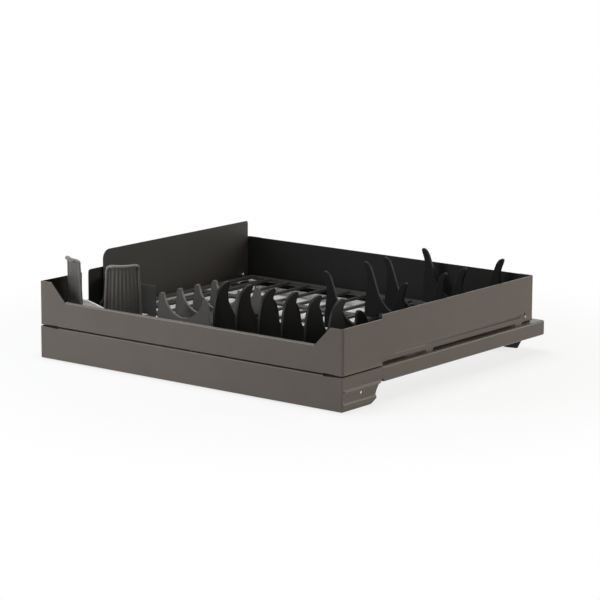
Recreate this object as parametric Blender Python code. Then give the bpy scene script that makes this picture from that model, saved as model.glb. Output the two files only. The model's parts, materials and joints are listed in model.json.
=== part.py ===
"""A pull-out dish rack for a 600 mm base cabinet: runners, a lower frame with a drip tray, and a basket.

X runs across the rack, +Y to its rear and +Z up. The origin is at the middle of the rack's footprint,
on the cabinet's floor. Heights are measured from the floor, and distances back from the front panel.
"""

import math

import bmesh
import bpy
from mathutils import Vector

mm = 0.001

# The whole rack
rack_width = 560 * mm
rack_depth = 507 * mm
floor_clearance = 3.5 * mm
seat_gap = 0.3 * mm
cut_overrun = 3 * mm
bend_radius = 2.2 * mm
bend_steps = 2
half_width = rack_width / 2
front_y = -rack_depth / 2

# Lower front panel and its returns
panel_sheet = 1.5 * mm
panel_clearance = 1.6 * mm
lower_top = 46.6 * mm
lower_flange = 12 * mm
flange_relief = 33 * mm
return_length = 90.5 * mm
return_start = 4 * mm
return_slope = 2 * mm
recess_depth = 1 * mm
band_height = 18.6 * mm
recess_height = 13.5 * mm
bead_height = 3 * mm
return_waist = 13 * mm
return_bulge = 1.6 * mm
return_corner = 10 * mm
return_hole_radius = 1.8 * mm
return_hole_y = 44.5 * mm

# Tray frame: the outboard rim
rim_bottom = 24.3 * mm
rim_height = 22.5 * mm
rim_sheet = 1.5 * mm
rim_top_flange = 22 * mm
rim_bottom_flange = 14 * mm
rim_corner = 4 * mm
least_corner = 0.6 * mm
corner_steps = 4

# Runners, one under each side
runner_inset = 78 * mm
runner_length = 450 * mm
runner_front = 38 * mm
runner_lift = 6.3 * mm
member_width = 44 * mm
member_height = 12.5 * mm
member_lip = 3.4 * mm
member_sheet = 1.4 * mm
member_bend = 2 * mm
ball_radius = 2 * mm
ball_clearance = 0.3 * mm
web_clearance = 1.8 * mm
middle_height = 7 * mm
drawer_lift = 2 * mm
cage_sheet = 0.8 * mm
cage_clearance = 0.45 * mm
cage_side = 6.6 * mm
cage_length = 220 * mm
balls_in_row = 3
ball_pitch = 80 * mm
ball_segments = 8
ball_rings = 5

# Feet and soft-close units
foot_sheet = 1.5 * mm
foot_length = 30 * mm
foot_flange = 22 * mm
foot_slope = 3 * mm
foot_bend = 2 * mm
foot_hole_radius = 2.4 * mm
front_foot_y = 44 * mm
rear_foot_y = 502 * mm
rear_foot_top = 34 * mm
rear_foot_floor = 24 * mm
rear_foot_width = 66 * mm
rear_foot_corner = 7 * mm
rear_foot_shift = 3 * mm
damper_width = 18 * mm
damper_length = 92 * mm
damper_height = 12 * mm
damper_rear = 474 * mm
damper_bevel = 2.5 * mm
damper_rod_radius = 2.4 * mm
damper_rod_length = 46 * mm
damper_latch = 9 * mm
damper_sides = 16
ball_share = 0.9

# Cross members of the frame
cross_width = 34 * mm
cross_sheet = 2 * mm
cross_flange = 7 * mm
cross_flange_gap = 15 * mm
front_cross_y = 104 * mm
rear_cross_y = 420 * mm

# Drip tray
tray_side_gap = 2.5 * mm
tray_height = 11 * mm
tray_sheet = 1.6 * mm
tray_corner = 10 * mm
tray_draft = 3 * mm
tray_rib_pitch = 46 * mm
tray_rib_width = 12 * mm
tray_rib_lift = 1.6 * mm

# Basket: upper front panel
upper_bottom = 48.4 * mm
ear_top = 114.2 * mm
lip_top = 87.2 * mm
lip_inset = 47 * mm
ear_width = 21 * mm
lip_flange = 10 * mm
lip_relief = 1.5 * mm
upper_flange = 12 * mm

# Basket: side walls, back wall and the tall side panel
wall_sheet = 1.5 * mm
wall_inset = 6 * mm
wall_front = 99.5 * mm
wall_rear = 482 * mm
wall_bottom = 50.2 * mm
wall_height = 68 * mm
wall_flange = 14 * mm
wall_corner = 4 * mm
wall_return = 20 * mm
groove_front = 133 * mm
groove_rear = 452 * mm
groove_lift = 6 * mm
groove_width = 5 * mm
groove_depth = 1.2 * mm
groove_slope = 1.3 * mm
tongue_lift = 11 * mm
tongue_height = 14 * mm
tongue_length = 32 * mm
joggle_length = 6 * mm
tab_width = 14 * mm
tab_relief = 3 * mm
front_tab_y = 214 * mm
rear_tab_y = 436 * mm
back_flange = 13 * mm
back_flange_inset = 19 * mm
tall_height = 94.3 * mm
tall_front = 129 * mm
tall_rear = 473 * mm
tall_corner = 14.5 * mm
screw_y = 461 * mm
screw_lift = 8 * mm
screw_radius = 1.9 * mm
screw_head_radius = 4 * mm
screw_head = 1.8 * mm
screw_bevel = 0.6 * mm
screw_nut = 3 * mm
screw_sides = 16

# Basket: floor grid
grid_height = 4 * mm
grid_edge = 12 * mm
slat_width = 6 * mm
slat_count = 12
grid_side_gap = 6.8 * mm
grid_front = 3 * mm
grid_rear_gap = 2 * mm
grid_cross_width = 16 * mm

# Divider rails
rail_width = 10 * mm
rail_height = 6 * mm
rail_sheet = 1.2 * mm
rail_bend = 1.6 * mm
rail_overhang = 16 * mm

# Plate dividers
divider_thickness = 4.7 * mm
divider_bevel = 0.8 * mm
divider_foot = 2.6 * mm
notch_clearance = 0.4 * mm

side_zone_gap = 50 * mm
side_divider_pitch = 41 * mm
side_divider_inset = 42 * mm
side_divider_front = 24.5 * mm
side_divider_length = 148 * mm
side_divider_height = 84.5 * mm
side_rail_front = 48 * mm
side_rail_spacing = 102 * mm

face_divider_inset = 120 * mm
face_divider_half = 80 * mm
face_divider_height = 83 * mm
face_divider_front = 213 * mm
face_divider_wide = 98.5 * mm
face_divider_narrow = 50 * mm
face_rail_offset = 45 * mm
face_rail_overhang = 17 * mm

# Bowl cradles
cradle_inset = 203 * mm
cradle_base_half = 51 * mm
cradle_tip_half = 46 * mm
cradle_height = 45 * mm
cradle_tip_radius = 4.1 * mm
cradle_valley_radius = 38 * mm
cradle_valley_lift = 12 * mm
cradle_thickness = 4 * mm
cradle_count = 4
cradle_pitch = 40 * mm
cradle_front = 88 * mm
cradle_rail_offset = 38 * mm
arc_steps = 8

# Cup tray, the two cup rests and the cross panel behind them
cup_tray_side_gap = 5 * mm
cup_tray_width = 78 * mm
cup_tray_front = 13 * mm
cup_tray_length = 66 * mm
cup_tray_height = 22 * mm
cup_tray_sheet = 2 * mm
cup_tray_corner = 16 * mm
cup_tray_draft = 2 * mm
rest_width = 50 * mm
rest_height = 88 * mm
rest_top_share = 0.9
rest_curl_shares = ((45, 0.98), (90, 0.95), (135, 0.9))
rest_bulge = 4 * mm
rest_dip = 2.2 * mm
rest_rim = 3 * mm
rest_rim_width = 3.2 * mm
rest_rib = 0.9 * mm
rest_rib_count = 6
rest_curl = 7 * mm
rest_foot_flare = 3 * mm
rest_sheet = 2.2 * mm
left_rest_inset = 32 * mm
left_rest_y = 38 * mm
left_rest_width = 38 * mm
left_rest_turn = math.radians(-27)
right_rest_inset = 114 * mm
right_rest_y = 52 * mm
right_rest_turn = math.radians(49)
cross_panel_y = 118 * mm
cross_panel_width = 114.5 * mm
cross_panel_lift = 5 * mm
cross_panel_height = 42.7 * mm
cross_panel_flange = 9 * mm
cross_panel_sheet = 1.5 * mm

# Places that follow from the sizes above
lower_top_z = floor_clearance + lower_top
rim_bottom_z = floor_clearance + rim_bottom
rim_top_z = rim_bottom_z + rim_height
runner_z = floor_clearance + runner_lift
upper_bottom_z = floor_clearance + upper_bottom
ear_top_z = floor_clearance + ear_top
lip_z = floor_clearance + lip_top
wall_bottom_z = floor_clearance + wall_bottom
wall_top_z = wall_bottom_z + wall_height
grid_bottom_z = wall_bottom_z + wall_sheet + seat_gap
grid_top_z = grid_bottom_z + grid_height
rail_bottom_z = grid_top_z + seat_gap
rail_top_z = rail_bottom_z + rail_height
divider_bottom_z = grid_top_z + divider_foot
cross_bottom_z = rim_bottom_z + rim_sheet + seat_gap
tray_bottom_z = cross_bottom_z + cross_sheet + seat_gap
drawer_top_z = cross_bottom_z - seat_gap
wall_x = half_width - wall_inset
wall_inner_x = wall_x - wall_sheet
wall_inner_y = wall_rear - wall_sheet
runner_x = half_width - runner_inset
lip_half = half_width - lip_inset
side_divider_last_x = half_width - side_divider_inset
side_rail_ys = (side_rail_front, side_rail_front + side_rail_spacing)
face_divider_x = half_width - face_divider_inset
face_divider_second = face_divider_front + face_divider_wide
face_divider_third = face_divider_second + face_divider_narrow
face_divider_ys = (
    face_divider_front,
    face_divider_second,
    face_divider_third,
    face_divider_third + face_divider_wide,
)
face_rail_front = face_divider_front - face_rail_overhang
cradle_x = cradle_inset - half_width
side_zone = side_divider_last_x - (cradle_x + cradle_base_half) - side_zone_gap
side_divider_count = 1 + int(side_zone / side_divider_pitch)


def material(name, colour, roughness, metallic=0.0):
    made = bpy.data.materials.new(name)
    made.use_nodes = True
    shader = made.node_tree.nodes["Principled BSDF"]
    shader.inputs["Base Color"].default_value = (*colour, 1.0)
    shader.inputs["Roughness"].default_value = roughness
    shader.inputs["Metallic"].default_value = metallic
    return made


def add_object(name, mesh, finish):
    made = bpy.data.objects.new(name, mesh)
    made.data.materials.append(finish)
    bpy.context.collection.objects.link(made)
    return made


def mesh_from(bm, name):
    mesh = bpy.data.meshes.new(name)
    bm.to_mesh(mesh)
    bm.free()
    return mesh


def helper(made):
    """A cutter or an addition: it shapes another object and isn't a piece itself."""
    made.hide_render = True
    made.display_type = "WIRE"
    return made


def combine(target, tool, operation):
    modifier = target.modifiers.new(operation.lower(), "BOOLEAN")
    modifier.operation = operation
    modifier.solver = "EXACT"
    modifier.object = helper(tool)


def add_bevel(target, width, segments=1):
    modifier = target.modifiers.new("bevel", "BEVEL")
    modifier.width = width
    modifier.segments = segments
    modifier.limit_method = "ANGLE"
    modifier.angle_limit = math.radians(50)


def smooth(mesh, angle=35):
    mesh.shade_smooth()
    mesh.set_sharp_from_angle(angle=math.radians(angle))


def folded_sheet(name, faces, outward, thickness, finish, bend=bend_radius, steps=bend_steps):
    """A folded sheet from flat faces, given as corner points, with its fold edges rounded.

    outward is the outer side of the first face, and the sheet's thickness goes the other way.
    """
    bm = bmesh.new()
    points = {}
    for face in faces:
        corners = []
        for corner in face:
            key = tuple(round(value / seat_gap, 2) for value in corner)
            if key not in points:
                points[key] = bm.verts.new(corner)
            corners.append(points[key])
        bm.faces.new(corners)
    bmesh.ops.recalc_face_normals(bm, faces=bm.faces)
    bm.faces.ensure_lookup_table()
    if bm.faces[0].normal.dot(Vector(outward)) < 0:
        bmesh.ops.reverse_faces(bm, faces=bm.faces)
    folds = [edge for edge in bm.edges if len(edge.link_faces) == 2 and edge.calc_face_angle() > math.radians(50)]
    if bend and folds:
        bmesh.ops.bevel(bm, geom=folds, offset=bend, segments=steps, profile=0.5, affect="EDGES")
    made = add_object(name, mesh_from(bm, name), finish)
    smooth(made.data)
    solidify = made.modifiers.new("thickness", "SOLIDIFY")
    solidify.thickness = thickness
    solidify.offset = -1
    solidify.use_even_offset = True
    return made


def extruded(name, outline, start, end, place, finish):
    """A closed outline of (a, b) points, extruded from start to end: place(a, b, c) gives each point."""
    bm = bmesh.new()
    bottom = [bm.verts.new(place(a, b, start)) for a, b in outline]
    top = [bm.verts.new(place(a, b, end)) for a, b in outline]
    bm.faces.new(bottom)
    bm.faces.new(top)
    for i in range(len(outline)):
        j = (i + 1) % len(outline)
        bm.faces.new((bottom[i], bottom[j], top[j], top[i]))
    bmesh.ops.recalc_face_normals(bm, faces=bm.faces)
    made = add_object(name, mesh_from(bm, name), finish)
    smooth(made.data)
    return made


def cylinder(name, radius, start, end, finish, sides=24):
    """A cylinder from point start to point end."""
    start, end = Vector(start), Vector(end)
    bm = bmesh.new()
    bmesh.ops.create_cone(
        bm, cap_ends=True, segments=sides, radius1=radius, radius2=radius, depth=(end - start).length
    )
    turn = (end - start).to_track_quat("Z", "Y").to_matrix()
    bmesh.ops.rotate(bm, matrix=turn, verts=bm.verts)
    bmesh.ops.translate(bm, vec=(start + end) / 2, verts=bm.verts)
    made = add_object(name, mesh_from(bm, name), finish)
    smooth(made.data)
    return made


def box(name, low, high, finish):
    bm = bmesh.new()
    bmesh.ops.create_cube(bm, size=1)
    for vert in bm.verts:
        vert.co = [l if c < 0 else h for c, l, h in zip(vert.co, low, high)]
    return add_object(name, mesh_from(bm, name), finish)


def arc(centre, radius, start, end, steps):
    """Points on a circle from start to end, in degrees."""
    turns = [math.radians(start + (end - start) * i / steps) for i in range(steps + 1)]
    return [(centre[0] + radius * math.cos(t), centre[1] + radius * math.sin(t)) for t in turns]


def rounded_rectangle(low, high, radius, steps):
    (x0, y0), (x1, y1) = low, high
    corners = (
        ((x1 - radius, y0 + radius), -90),
        ((x1 - radius, y1 - radius), 0),
        ((x0 + radius, y1 - radius), 90),
        ((x0 + radius, y0 + radius), 180),
    )
    return [point for centre, turn in corners for point in arc(centre, radius, turn, turn + 90, steps)]


def behind(distance):
    """The Y of a place this far behind the front panel's face."""
    return front_y + distance


def lower_front_panel(finish):
    """The lower front panel: a face with a folded top edge, and two side returns with a pressed recess."""
    flange_half = half_width - flange_relief
    bottom_z = panel_clearance
    band_z = lower_top_z - band_height
    middle_y = return_length - return_waist
    bead_z = band_z - recess_height
    corner = arc((middle_y - return_corner, bottom_z + return_corner), return_corner, 0, -90, corner_steps)
    rows = [
        (0, lower_top_z, return_length),
        (0, band_z, return_length),
        (recess_depth, band_z - return_slope, return_length - return_slope / 2),
        (recess_depth, bead_z, middle_y - return_bulge),
        (0, bead_z - bead_height, middle_y),
    ]
    rows += [(0, z, y) for y, z in corner]
    side_zs = [z for inset, z, rear in rows]
    face = [(half_width, front_y, z) for z in reversed(side_zs)]
    face += [(flange_half, front_y, lower_top_z), (-flange_half, front_y, lower_top_z)]
    face += [(-half_width, front_y, z) for z in side_zs]
    flange_y = behind(lower_flange)
    faces = [
        face,
        [
            (-flange_half, front_y, lower_top_z),
            (flange_half, front_y, lower_top_z),
            (flange_half, flange_y, lower_top_z),
            (-flange_half, flange_y, lower_top_z),
        ],
    ]
    for side in (-1, 1):
        lines = []
        for inset, z, rear in rows:
            columns = ((0, 0), (0, return_start), (inset, return_start + return_slope), (inset, rear))
            lines.append([(side * (half_width - x), behind(y), z) for x, y in columns])
        for line, next_line in zip(lines, lines[1:]):
            for i in range(len(line) - 1):
                faces.append([line[i], line[i + 1], next_line[i + 1], next_line[i]])
    made = folded_sheet("lower_front_panel", faces, (0, -1, 0), panel_sheet, finish)
    hole_z = band_z - return_slope - recess_height / 3
    for side in (-1, 1):
        hole = cylinder(
            "return_hole",
            return_hole_radius,
            (side * (half_width - recess_depth - panel_sheet - cut_overrun), behind(return_hole_y), hole_z),
            (side * (half_width + cut_overrun), behind(return_hole_y), hole_z),
            finish,
            12,
        )
        combine(made, hole, "DIFFERENCE")
    return made


def rim_path(inset):
    """The rim's plan line this far inside its outer edge, from the right front end round to the left."""
    radius = max(rim_corner - inset, least_corner)
    x = half_width - inset
    rear = rack_depth - inset
    right = arc((x - radius, rear - radius), radius, 0, 90, corner_steps)
    start = return_length + seat_gap
    half = [(x, start)] + right
    line = half + [(-px, py) for px, py in reversed(half)]
    return [(px, behind(py)) for px, py in line]


def tray_frame(finish):
    """The outboard rim: a C section that runs down the right side, across the rear and up the left."""
    section = (
        (rim_top_flange, rim_top_z),
        (0, rim_top_z),
        (0, rim_bottom_z),
        (rim_bottom_flange, rim_bottom_z),
    )
    lines = [[(x, y, z) for x, y in rim_path(inset)] for inset, z in section]
    faces = []
    for line, next_line in zip(lines, lines[1:]):
        for i in range(len(line) - 1):
            faces.append([line[i], line[i + 1], next_line[i + 1], next_line[i]])
    return folded_sheet("tray_frame", faces, (0, 0, 1), rim_sheet, finish)


def cross_member(name, y, finish):
    """A flat bar across the frame on the two drawer members, stiffened by a fold along each edge."""
    half = half_width - rim_sheet - seat_gap * 2
    top = cross_bottom_z + cross_sheet
    front, rear = behind(y), behind(y + cross_width)
    low = top - cross_flange
    inner = runner_x - member_width / 2 - cross_flange_gap
    corners = [(-half, front), (-inner, front), (inner, front), (half, front)]
    corners += [(half, rear), (inner, rear), (-inner, rear), (-half, rear)]
    faces = [[(x, py, top) for x, py in corners]]
    for edge in (front, rear):
        faces.append([(-inner, edge, top), (inner, edge, top), (inner, edge, low), (-inner, edge, low)])
    return folded_sheet(name, faces, (0, 0, 1), cross_sheet, finish, bend=cross_sheet + seat_gap * 2)


def channel(name, path, front, length, outward, thickness, finish, bend):
    """A folded channel: path is its (x, z) line, extruded back from front by length."""
    y0, y1 = behind(front), behind(front + length)
    faces = []
    for (x, z), (next_x, next_z) in zip(path, path[1:]):
        faces.append([(x, y0, z), (next_x, y0, next_z), (next_x, y1, next_z), (x, y1, z)])
    return folded_sheet(name, faces, outward, thickness, finish, bend=bend)


def balls(name, places, finish):
    """All the balls of one cage, as one helper mesh."""
    bm = bmesh.new()
    for place in places:
        made = bmesh.ops.create_uvsphere(bm, u_segments=ball_segments, v_segments=ball_rings, radius=ball_radius)
        bmesh.ops.translate(bm, vec=place, verts=made["verts"])
    return add_object(name, mesh_from(bm, name), finish)


def ball_cage(name, centre_x, offset, bottom_z, ball_z, finish):
    """A U strip that holds a row of balls in each side, all one body."""
    half = offset + cage_sheet / 2
    top = bottom_z + cage_side
    front = runner_front + (runner_length - cage_length) / 2
    path = [(centre_x - half, top), (centre_x - half, bottom_z), (centre_x + half, bottom_z), (centre_x + half, top)]
    made = channel(name, path, front, cage_length, (-1, 0, 0), cage_sheet, finish, cage_sheet + cage_clearance)
    first = front + (cage_length - ball_pitch * (balls_in_row - 1)) / 2
    places = [
        (centre_x + side * offset, behind(first + ball_pitch * i), ball_z)
        for side in (-1, 1)
        for i in range(balls_in_row)
    ]
    combine(made, balls(name + "_balls", places, finish), "UNION")
    return made


def runner(side, name, steel, brass):
    """One full-extension runner: three nested members, with a cage of balls in each gap."""
    x = side * runner_x
    half = member_width / 2
    base, top = runner_z, runner_z + member_height
    path = [(x - half + member_lip, top), (x - half, top), (x - half, base)]
    path += [(x + half, base), (x + half, top), (x + half - member_lip, top)]
    channel(
        "cabinet_member_" + name, path, runner_front, runner_length, (0, 0, 1), member_sheet, steel, member_bend
    )
    outer_balls = half - member_sheet - ball_clearance - ball_radius
    middle_half = outer_balls - ball_radius - ball_clearance
    middle_base = base + member_sheet + web_clearance
    middle_top = middle_base + middle_height
    path = [(x - middle_half, middle_top), (x - middle_half, middle_base)]
    path += [(x + middle_half, middle_base), (x + middle_half, middle_top)]
    channel("middle_member_" + name, path, runner_front, runner_length, (-1, 0, 0), member_sheet, steel, member_bend)
    inner_balls = middle_half - member_sheet - ball_clearance - ball_radius
    drawer_half = inner_balls - ball_radius - ball_clearance
    drawer_base = middle_base + member_sheet + drawer_lift
    path = [(x - drawer_half, drawer_base), (x - drawer_half, drawer_top_z)]
    path += [(x + drawer_half, drawer_top_z), (x + drawer_half, drawer_base)]
    channel("drawer_member_" + name, path, runner_front, runner_length, (-1, 0, 0), member_sheet, steel, member_bend)
    outer_cage_z = base + member_sheet + cage_clearance
    inner_cage_z = middle_base + member_sheet + cage_clearance
    outer_ball_z = middle_base + middle_height / 2
    inner_ball_z = drawer_base + ball_radius * ball_share
    ball_cage("outer_ball_cage_" + name, x, outer_balls, outer_cage_z, outer_ball_z, brass)
    ball_cage("inner_ball_cage_" + name, x, inner_balls, inner_cage_z, inner_ball_z, brass)


def foot(side, name, y, finish):
    """A hat-shaped foot under the cabinet member, with a screw hole in each flange."""
    x = side * runner_x
    half = member_width / 2
    top = runner_z - seat_gap
    outer = half + foot_slope + foot_flange
    path = [(x - outer, foot_sheet), (x - half - foot_slope, foot_sheet), (x - half, top)]
    path += [(x + half, top), (x + half + foot_slope, foot_sheet), (x + outer, foot_sheet)]
    made = channel(name, path, y, foot_length, (0, 0, 1), foot_sheet, finish, foot_bend)
    for end in (-1, 1):
        hole_x = x + end * (half + foot_slope + foot_flange / 2)
        hole_y = behind(y + foot_length / 2)
        hole = cylinder(
            "foot_hole",
            foot_hole_radius,
            (hole_x, hole_y, -cut_overrun),
            (hole_x, hole_y, foot_sheet + cut_overrun),
            finish,
        )
        combine(made, hole, "DIFFERENCE")
    return made


def rear_foot(side, name, finish):
    """An angle at the runner's rear end: a top plate under the member, an upright and a short floor plate."""
    top = runner_z - seat_gap
    inner_x = side * (runner_x - member_width / 2)
    outer_x = side * (runner_x + member_width / 2)
    low_x = side * (runner_x - rear_foot_width / 2 + rear_foot_shift)
    high_x = side * (runner_x + rear_foot_width / 2 + rear_foot_shift)
    floor_x = low_x + side * rear_foot_floor
    y, front = behind(rear_foot_y), behind(rear_foot_y - rear_foot_top)
    rise = min(rear_foot_corner, top - foot_sheet)
    corner = arc((side * high_x - rear_foot_corner, rise), rear_foot_corner, -90, 0, corner_steps)
    upright = [(low_x, y, 0), (floor_x, y, 0)]
    upright += [(side * x, y, z) for x, z in corner if z < top - seat_gap and z + rear_foot_corner - rise >= 0]
    upright += [(high_x, y, top), (outer_x, y, top), (inner_x, y, top), (low_x, y, top)]
    faces = [
        upright,
        [(inner_x, y, top), (outer_x, y, top), (outer_x, front, top), (inner_x, front, top)],
        [(low_x, y, 0), (floor_x, y, 0), (floor_x, y - rear_foot_floor, 0), (low_x, y - rear_foot_floor, 0)],
    ]
    made = folded_sheet("rear_foot_" + name, faces, (0, 1, 0), foot_sheet, finish)
    hole_x, hole_y = (low_x + floor_x) / 2, y - rear_foot_floor / 2
    ends = (hole_x, hole_y, -cut_overrun), (hole_x, hole_y, foot_sheet + cut_overrun)
    combine(made, cylinder("rear_foot_hole", foot_hole_radius, *ends, finish), "DIFFERENCE")
    return made


def soft_close(side, name, finish):
    """The damper beside the cabinet member: its housing, rod and latch."""
    outer_x = side * (runner_x - member_width / 2 - seat_gap)
    inner_x = outer_x - side * damper_width
    low_x, high_x = sorted((outer_x, inner_x))
    rear = behind(damper_rear)
    front = rear - damper_length
    made = box(name, (low_x, front, runner_z), (high_x, rear, runner_z + damper_height), finish)
    add_bevel(made, damper_bevel, 2)
    centre_x = (low_x + high_x) / 2
    centre_z = runner_z + damper_height / 2
    rod_end = front - damper_rod_length
    rod = cylinder(
        name + "_rod",
        damper_rod_radius,
        (centre_x, rod_end, centre_z),
        (centre_x, front + cut_overrun, centre_z),
        finish,
        damper_sides,
    )
    latch = box(
        name + "_latch",
        (centre_x - damper_latch / 2, rod_end - damper_latch, centre_z - damper_latch / 2),
        (centre_x + damper_latch / 2, rod_end + cut_overrun / 2, centre_z + damper_latch / 2),
        finish,
    )
    combine(made, rod, "UNION")
    combine(made, latch, "UNION")
    return made


def drip_tray(finish):
    """A shallow tray inside the frame, with raised ribs across its floor."""
    half = half_width - rim_top_flange - tray_side_gap
    front = lower_flange + tray_side_gap
    rear = rack_depth - rim_top_flange - tray_side_gap
    top = tray_bottom_z + tray_height
    upper = rounded_rectangle((-half, front), (half, rear), tray_corner, corner_steps)
    lower = rounded_rectangle(
        (-half + tray_draft, front + tray_draft),
        (half - tray_draft, rear - tray_draft),
        tray_corner - tray_draft,
        corner_steps,
    )
    count = len(upper)
    faces = []
    for i in range(count):
        j = (i + 1) % count
        faces.append(
            [
                (upper[i][0], behind(upper[i][1]), top),
                (upper[j][0], behind(upper[j][1]), top),
                (lower[j][0], behind(lower[j][1]), tray_bottom_z),
                (lower[i][0], behind(lower[i][1]), tray_bottom_z),
            ]
        )
    faces.append([(x, behind(y), tray_bottom_z) for x, y in lower])
    made = folded_sheet("drip_tray", faces, (0, 0, -1), tray_sheet, finish, bend=0)
    bm = bmesh.new()
    rib_half = half - tray_draft - tray_corner
    inside = rear - front - tray_corner * 2
    rib_count = int(inside / tray_rib_pitch)
    first = front + tray_corner + (inside - tray_rib_pitch * (rib_count - 1)) / 2
    floor_z = tray_bottom_z + tray_sheet
    for i in range(rib_count):
        y = behind(first + tray_rib_pitch * i)
        low = [bm.verts.new((x, y + dy, floor_z - tray_sheet / 2)) for x, dy in rib_base(rib_half)]
        high = [bm.verts.new((x, y + dy, floor_z + tray_rib_lift)) for x, dy in rib_base(rib_half, tray_rib_lift)]
        bm.faces.new(low)
        bm.faces.new(high)
        for a in range(len(low)):
            b = (a + 1) % len(low)
            bm.faces.new((low[a], low[b], high[b], high[a]))
    bmesh.ops.recalc_face_normals(bm, faces=bm.faces)
    combine(made, add_object("drip_tray_ribs", mesh_from(bm, "drip_tray_ribs"), finish), "UNION")
    return made


def rib_base(half, inset=0):
    width = tray_rib_width / 2 - inset
    return ((-half + inset, -width), (half - inset, -width), (half - inset, width), (-half + inset, width))


def upper_front_panel(finish):
    """The basket's front: two ears, a lowered lip between them, and a return down each side."""
    diagonal_half = half_width - ear_width
    flange_half = half_width - flange_relief
    lip_end = lip_half - lip_relief
    outline = [
        (-half_width, upper_bottom_z),
        (-flange_half, upper_bottom_z),
        (flange_half, upper_bottom_z),
        (half_width, upper_bottom_z),
        (half_width, ear_top_z),
        (diagonal_half, ear_top_z),
        (lip_half, lip_z),
        (lip_end, lip_z),
        (-lip_end, lip_z),
        (-lip_half, lip_z),
        (-diagonal_half, ear_top_z),
        (-half_width, ear_top_z),
    ]
    faces = [[(x, front_y, z) for x, z in outline]]
    for half, z, depth in ((lip_end, lip_z, lip_flange), (flange_half, upper_bottom_z, upper_flange)):
        faces.append(
            [(-half, front_y, z), (half, front_y, z), (half, behind(depth), z), (-half, behind(depth), z)]
        )
    for side in (-1, 1):
        x = side * half_width
        rear = behind(return_length)
        faces.append(
            [(x, front_y, upper_bottom_z), (x, rear, upper_bottom_z), (x, rear, ear_top_z), (x, front_y, ear_top_z)]
        )
    return folded_sheet("upper_front_panel", faces, (0, -1, 0), panel_sheet, finish)


def wall_stations():
    """(distance inward from the wall's outer plane, distance back) along the side wall's plan line."""
    reaches = (tab_width / 2, tab_width / 2 + tab_relief)
    tabs = [y + end * reach for y in (front_tab_y, rear_tab_y) for end in (-1, 1) for reach in reaches]
    straight = [wall_front, groove_front, groove_front + groove_slope] + tabs
    straight += [groove_rear - groove_slope, groove_rear, wall_rear - wall_corner]
    line = [(0, y) for y in sorted(straight)]
    corner = arc((-wall_corner, wall_rear - wall_corner), wall_corner, 0, 90, corner_steps)
    line += [(-a, b) for a, b in corner[1:]]
    return line + [(wall_corner + wall_return, wall_rear)]


def side_wall(side, name, finish):
    """A side wall with a pressed groove, a foot flange, two feet, a joggled tongue and a turned rear end."""
    groove_z = wall_bottom_z + groove_lift
    levels = [
        wall_bottom_z,
        groove_z,
        groove_z + groove_slope,
        groove_z + groove_width - groove_slope,
        groove_z + groove_width,
        wall_bottom_z + tongue_lift + tongue_height,
        wall_top_z,
    ]
    stations = wall_stations()

    def corner(station, level):
        inset, y = stations[station]
        z = levels[level]
        in_length = groove_front < y < groove_rear and inset == 0
        if in_length and level in (2, 3):
            inset += groove_depth
        return (side * (wall_x - inset), behind(y), z)

    faces = []
    for i in range(len(stations) - 1):
        for level in range(len(levels) - 1):
            faces.append([corner(i, level), corner(i + 1, level), corner(i + 1, level + 1), corner(i, level + 1)])
    faces.insert(0, faces.pop(len(levels) - 2))
    for (inset, y), (next_inset, next_y) in zip(stations, stations[1:]):
        if next_inset:
            break
        outer = side * wall_x
        from_tab = min(abs((y + next_y) / 2 - tab_y) for tab_y in (front_tab_y, rear_tab_y))
        if from_tab < tab_width / 2:
            foot_z = rim_top_z + seat_gap
            faces.append(
                [
                    (outer, behind(y), wall_bottom_z),
                    (outer, behind(next_y), wall_bottom_z),
                    (outer, behind(next_y), foot_z),
                    (outer, behind(y), foot_z),
                ]
            )
        if from_tab < tab_width / 2 + tab_relief:
            continue
        flange = side * (wall_x - wall_flange)
        faces.append(
            [
                (outer, behind(y), wall_bottom_z),
                (outer, behind(next_y), wall_bottom_z),
                (flange, behind(next_y), wall_bottom_z),
                (flange, behind(y), wall_bottom_z),
            ]
        )
    tongue_x = side * (half_width - panel_sheet - seat_gap)
    low, high = levels[4], levels[5]
    joggle_y, tongue_y = behind(wall_front - joggle_length), behind(wall_front - joggle_length - tongue_length)
    start = side * wall_x
    faces.append(
        [(start, behind(wall_front), low), (tongue_x, joggle_y, low), (tongue_x, joggle_y, high), (start, behind(wall_front), high)]
    )
    faces.append(
        [(tongue_x, joggle_y, low), (tongue_x, tongue_y, low), (tongue_x, tongue_y, high), (tongue_x, joggle_y, high)]
    )
    made = folded_sheet(name, faces, (side, 0, 0), wall_sheet, finish)
    hole = cylinder(
        "screw_hole",
        screw_radius + seat_gap,
        (side * (wall_x - wall_sheet - cut_overrun), behind(screw_y), wall_bottom_z + screw_lift),
        (side * (wall_x + cut_overrun), behind(screw_y), wall_bottom_z + screw_lift),
        finish,
        screw_sides,
    )
    combine(made, hole, "DIFFERENCE")
    return made


def wall_screw(side, name, finish):
    """The screw through the side wall, with its nut on the inside."""
    y, z = behind(screw_y), wall_bottom_z + screw_lift
    head_x = wall_x + seat_gap
    inner_x = wall_inner_x - seat_gap
    if side < 0:
        inner_x -= groove_depth + seat_gap + wall_sheet
    made = cylinder(
        name, screw_head_radius, (side * head_x, y, z), (side * (head_x + screw_head), y, z), finish, screw_sides
    )
    shank = cylinder(
        name + "_shank",
        screw_radius,
        (side * (inner_x - screw_nut / 2), y, z),
        (side * (head_x + screw_head / 2), y, z),
        finish,
        screw_sides,
    )
    nut = cylinder(
        name + "_nut", screw_head_radius, (side * (inner_x - screw_nut), y, z), (side * inner_x, y, z), finish, 6
    )
    add_bevel(made, screw_bevel)
    combine(made, shank, "UNION")
    combine(made, nut, "UNION")
    return made


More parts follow.
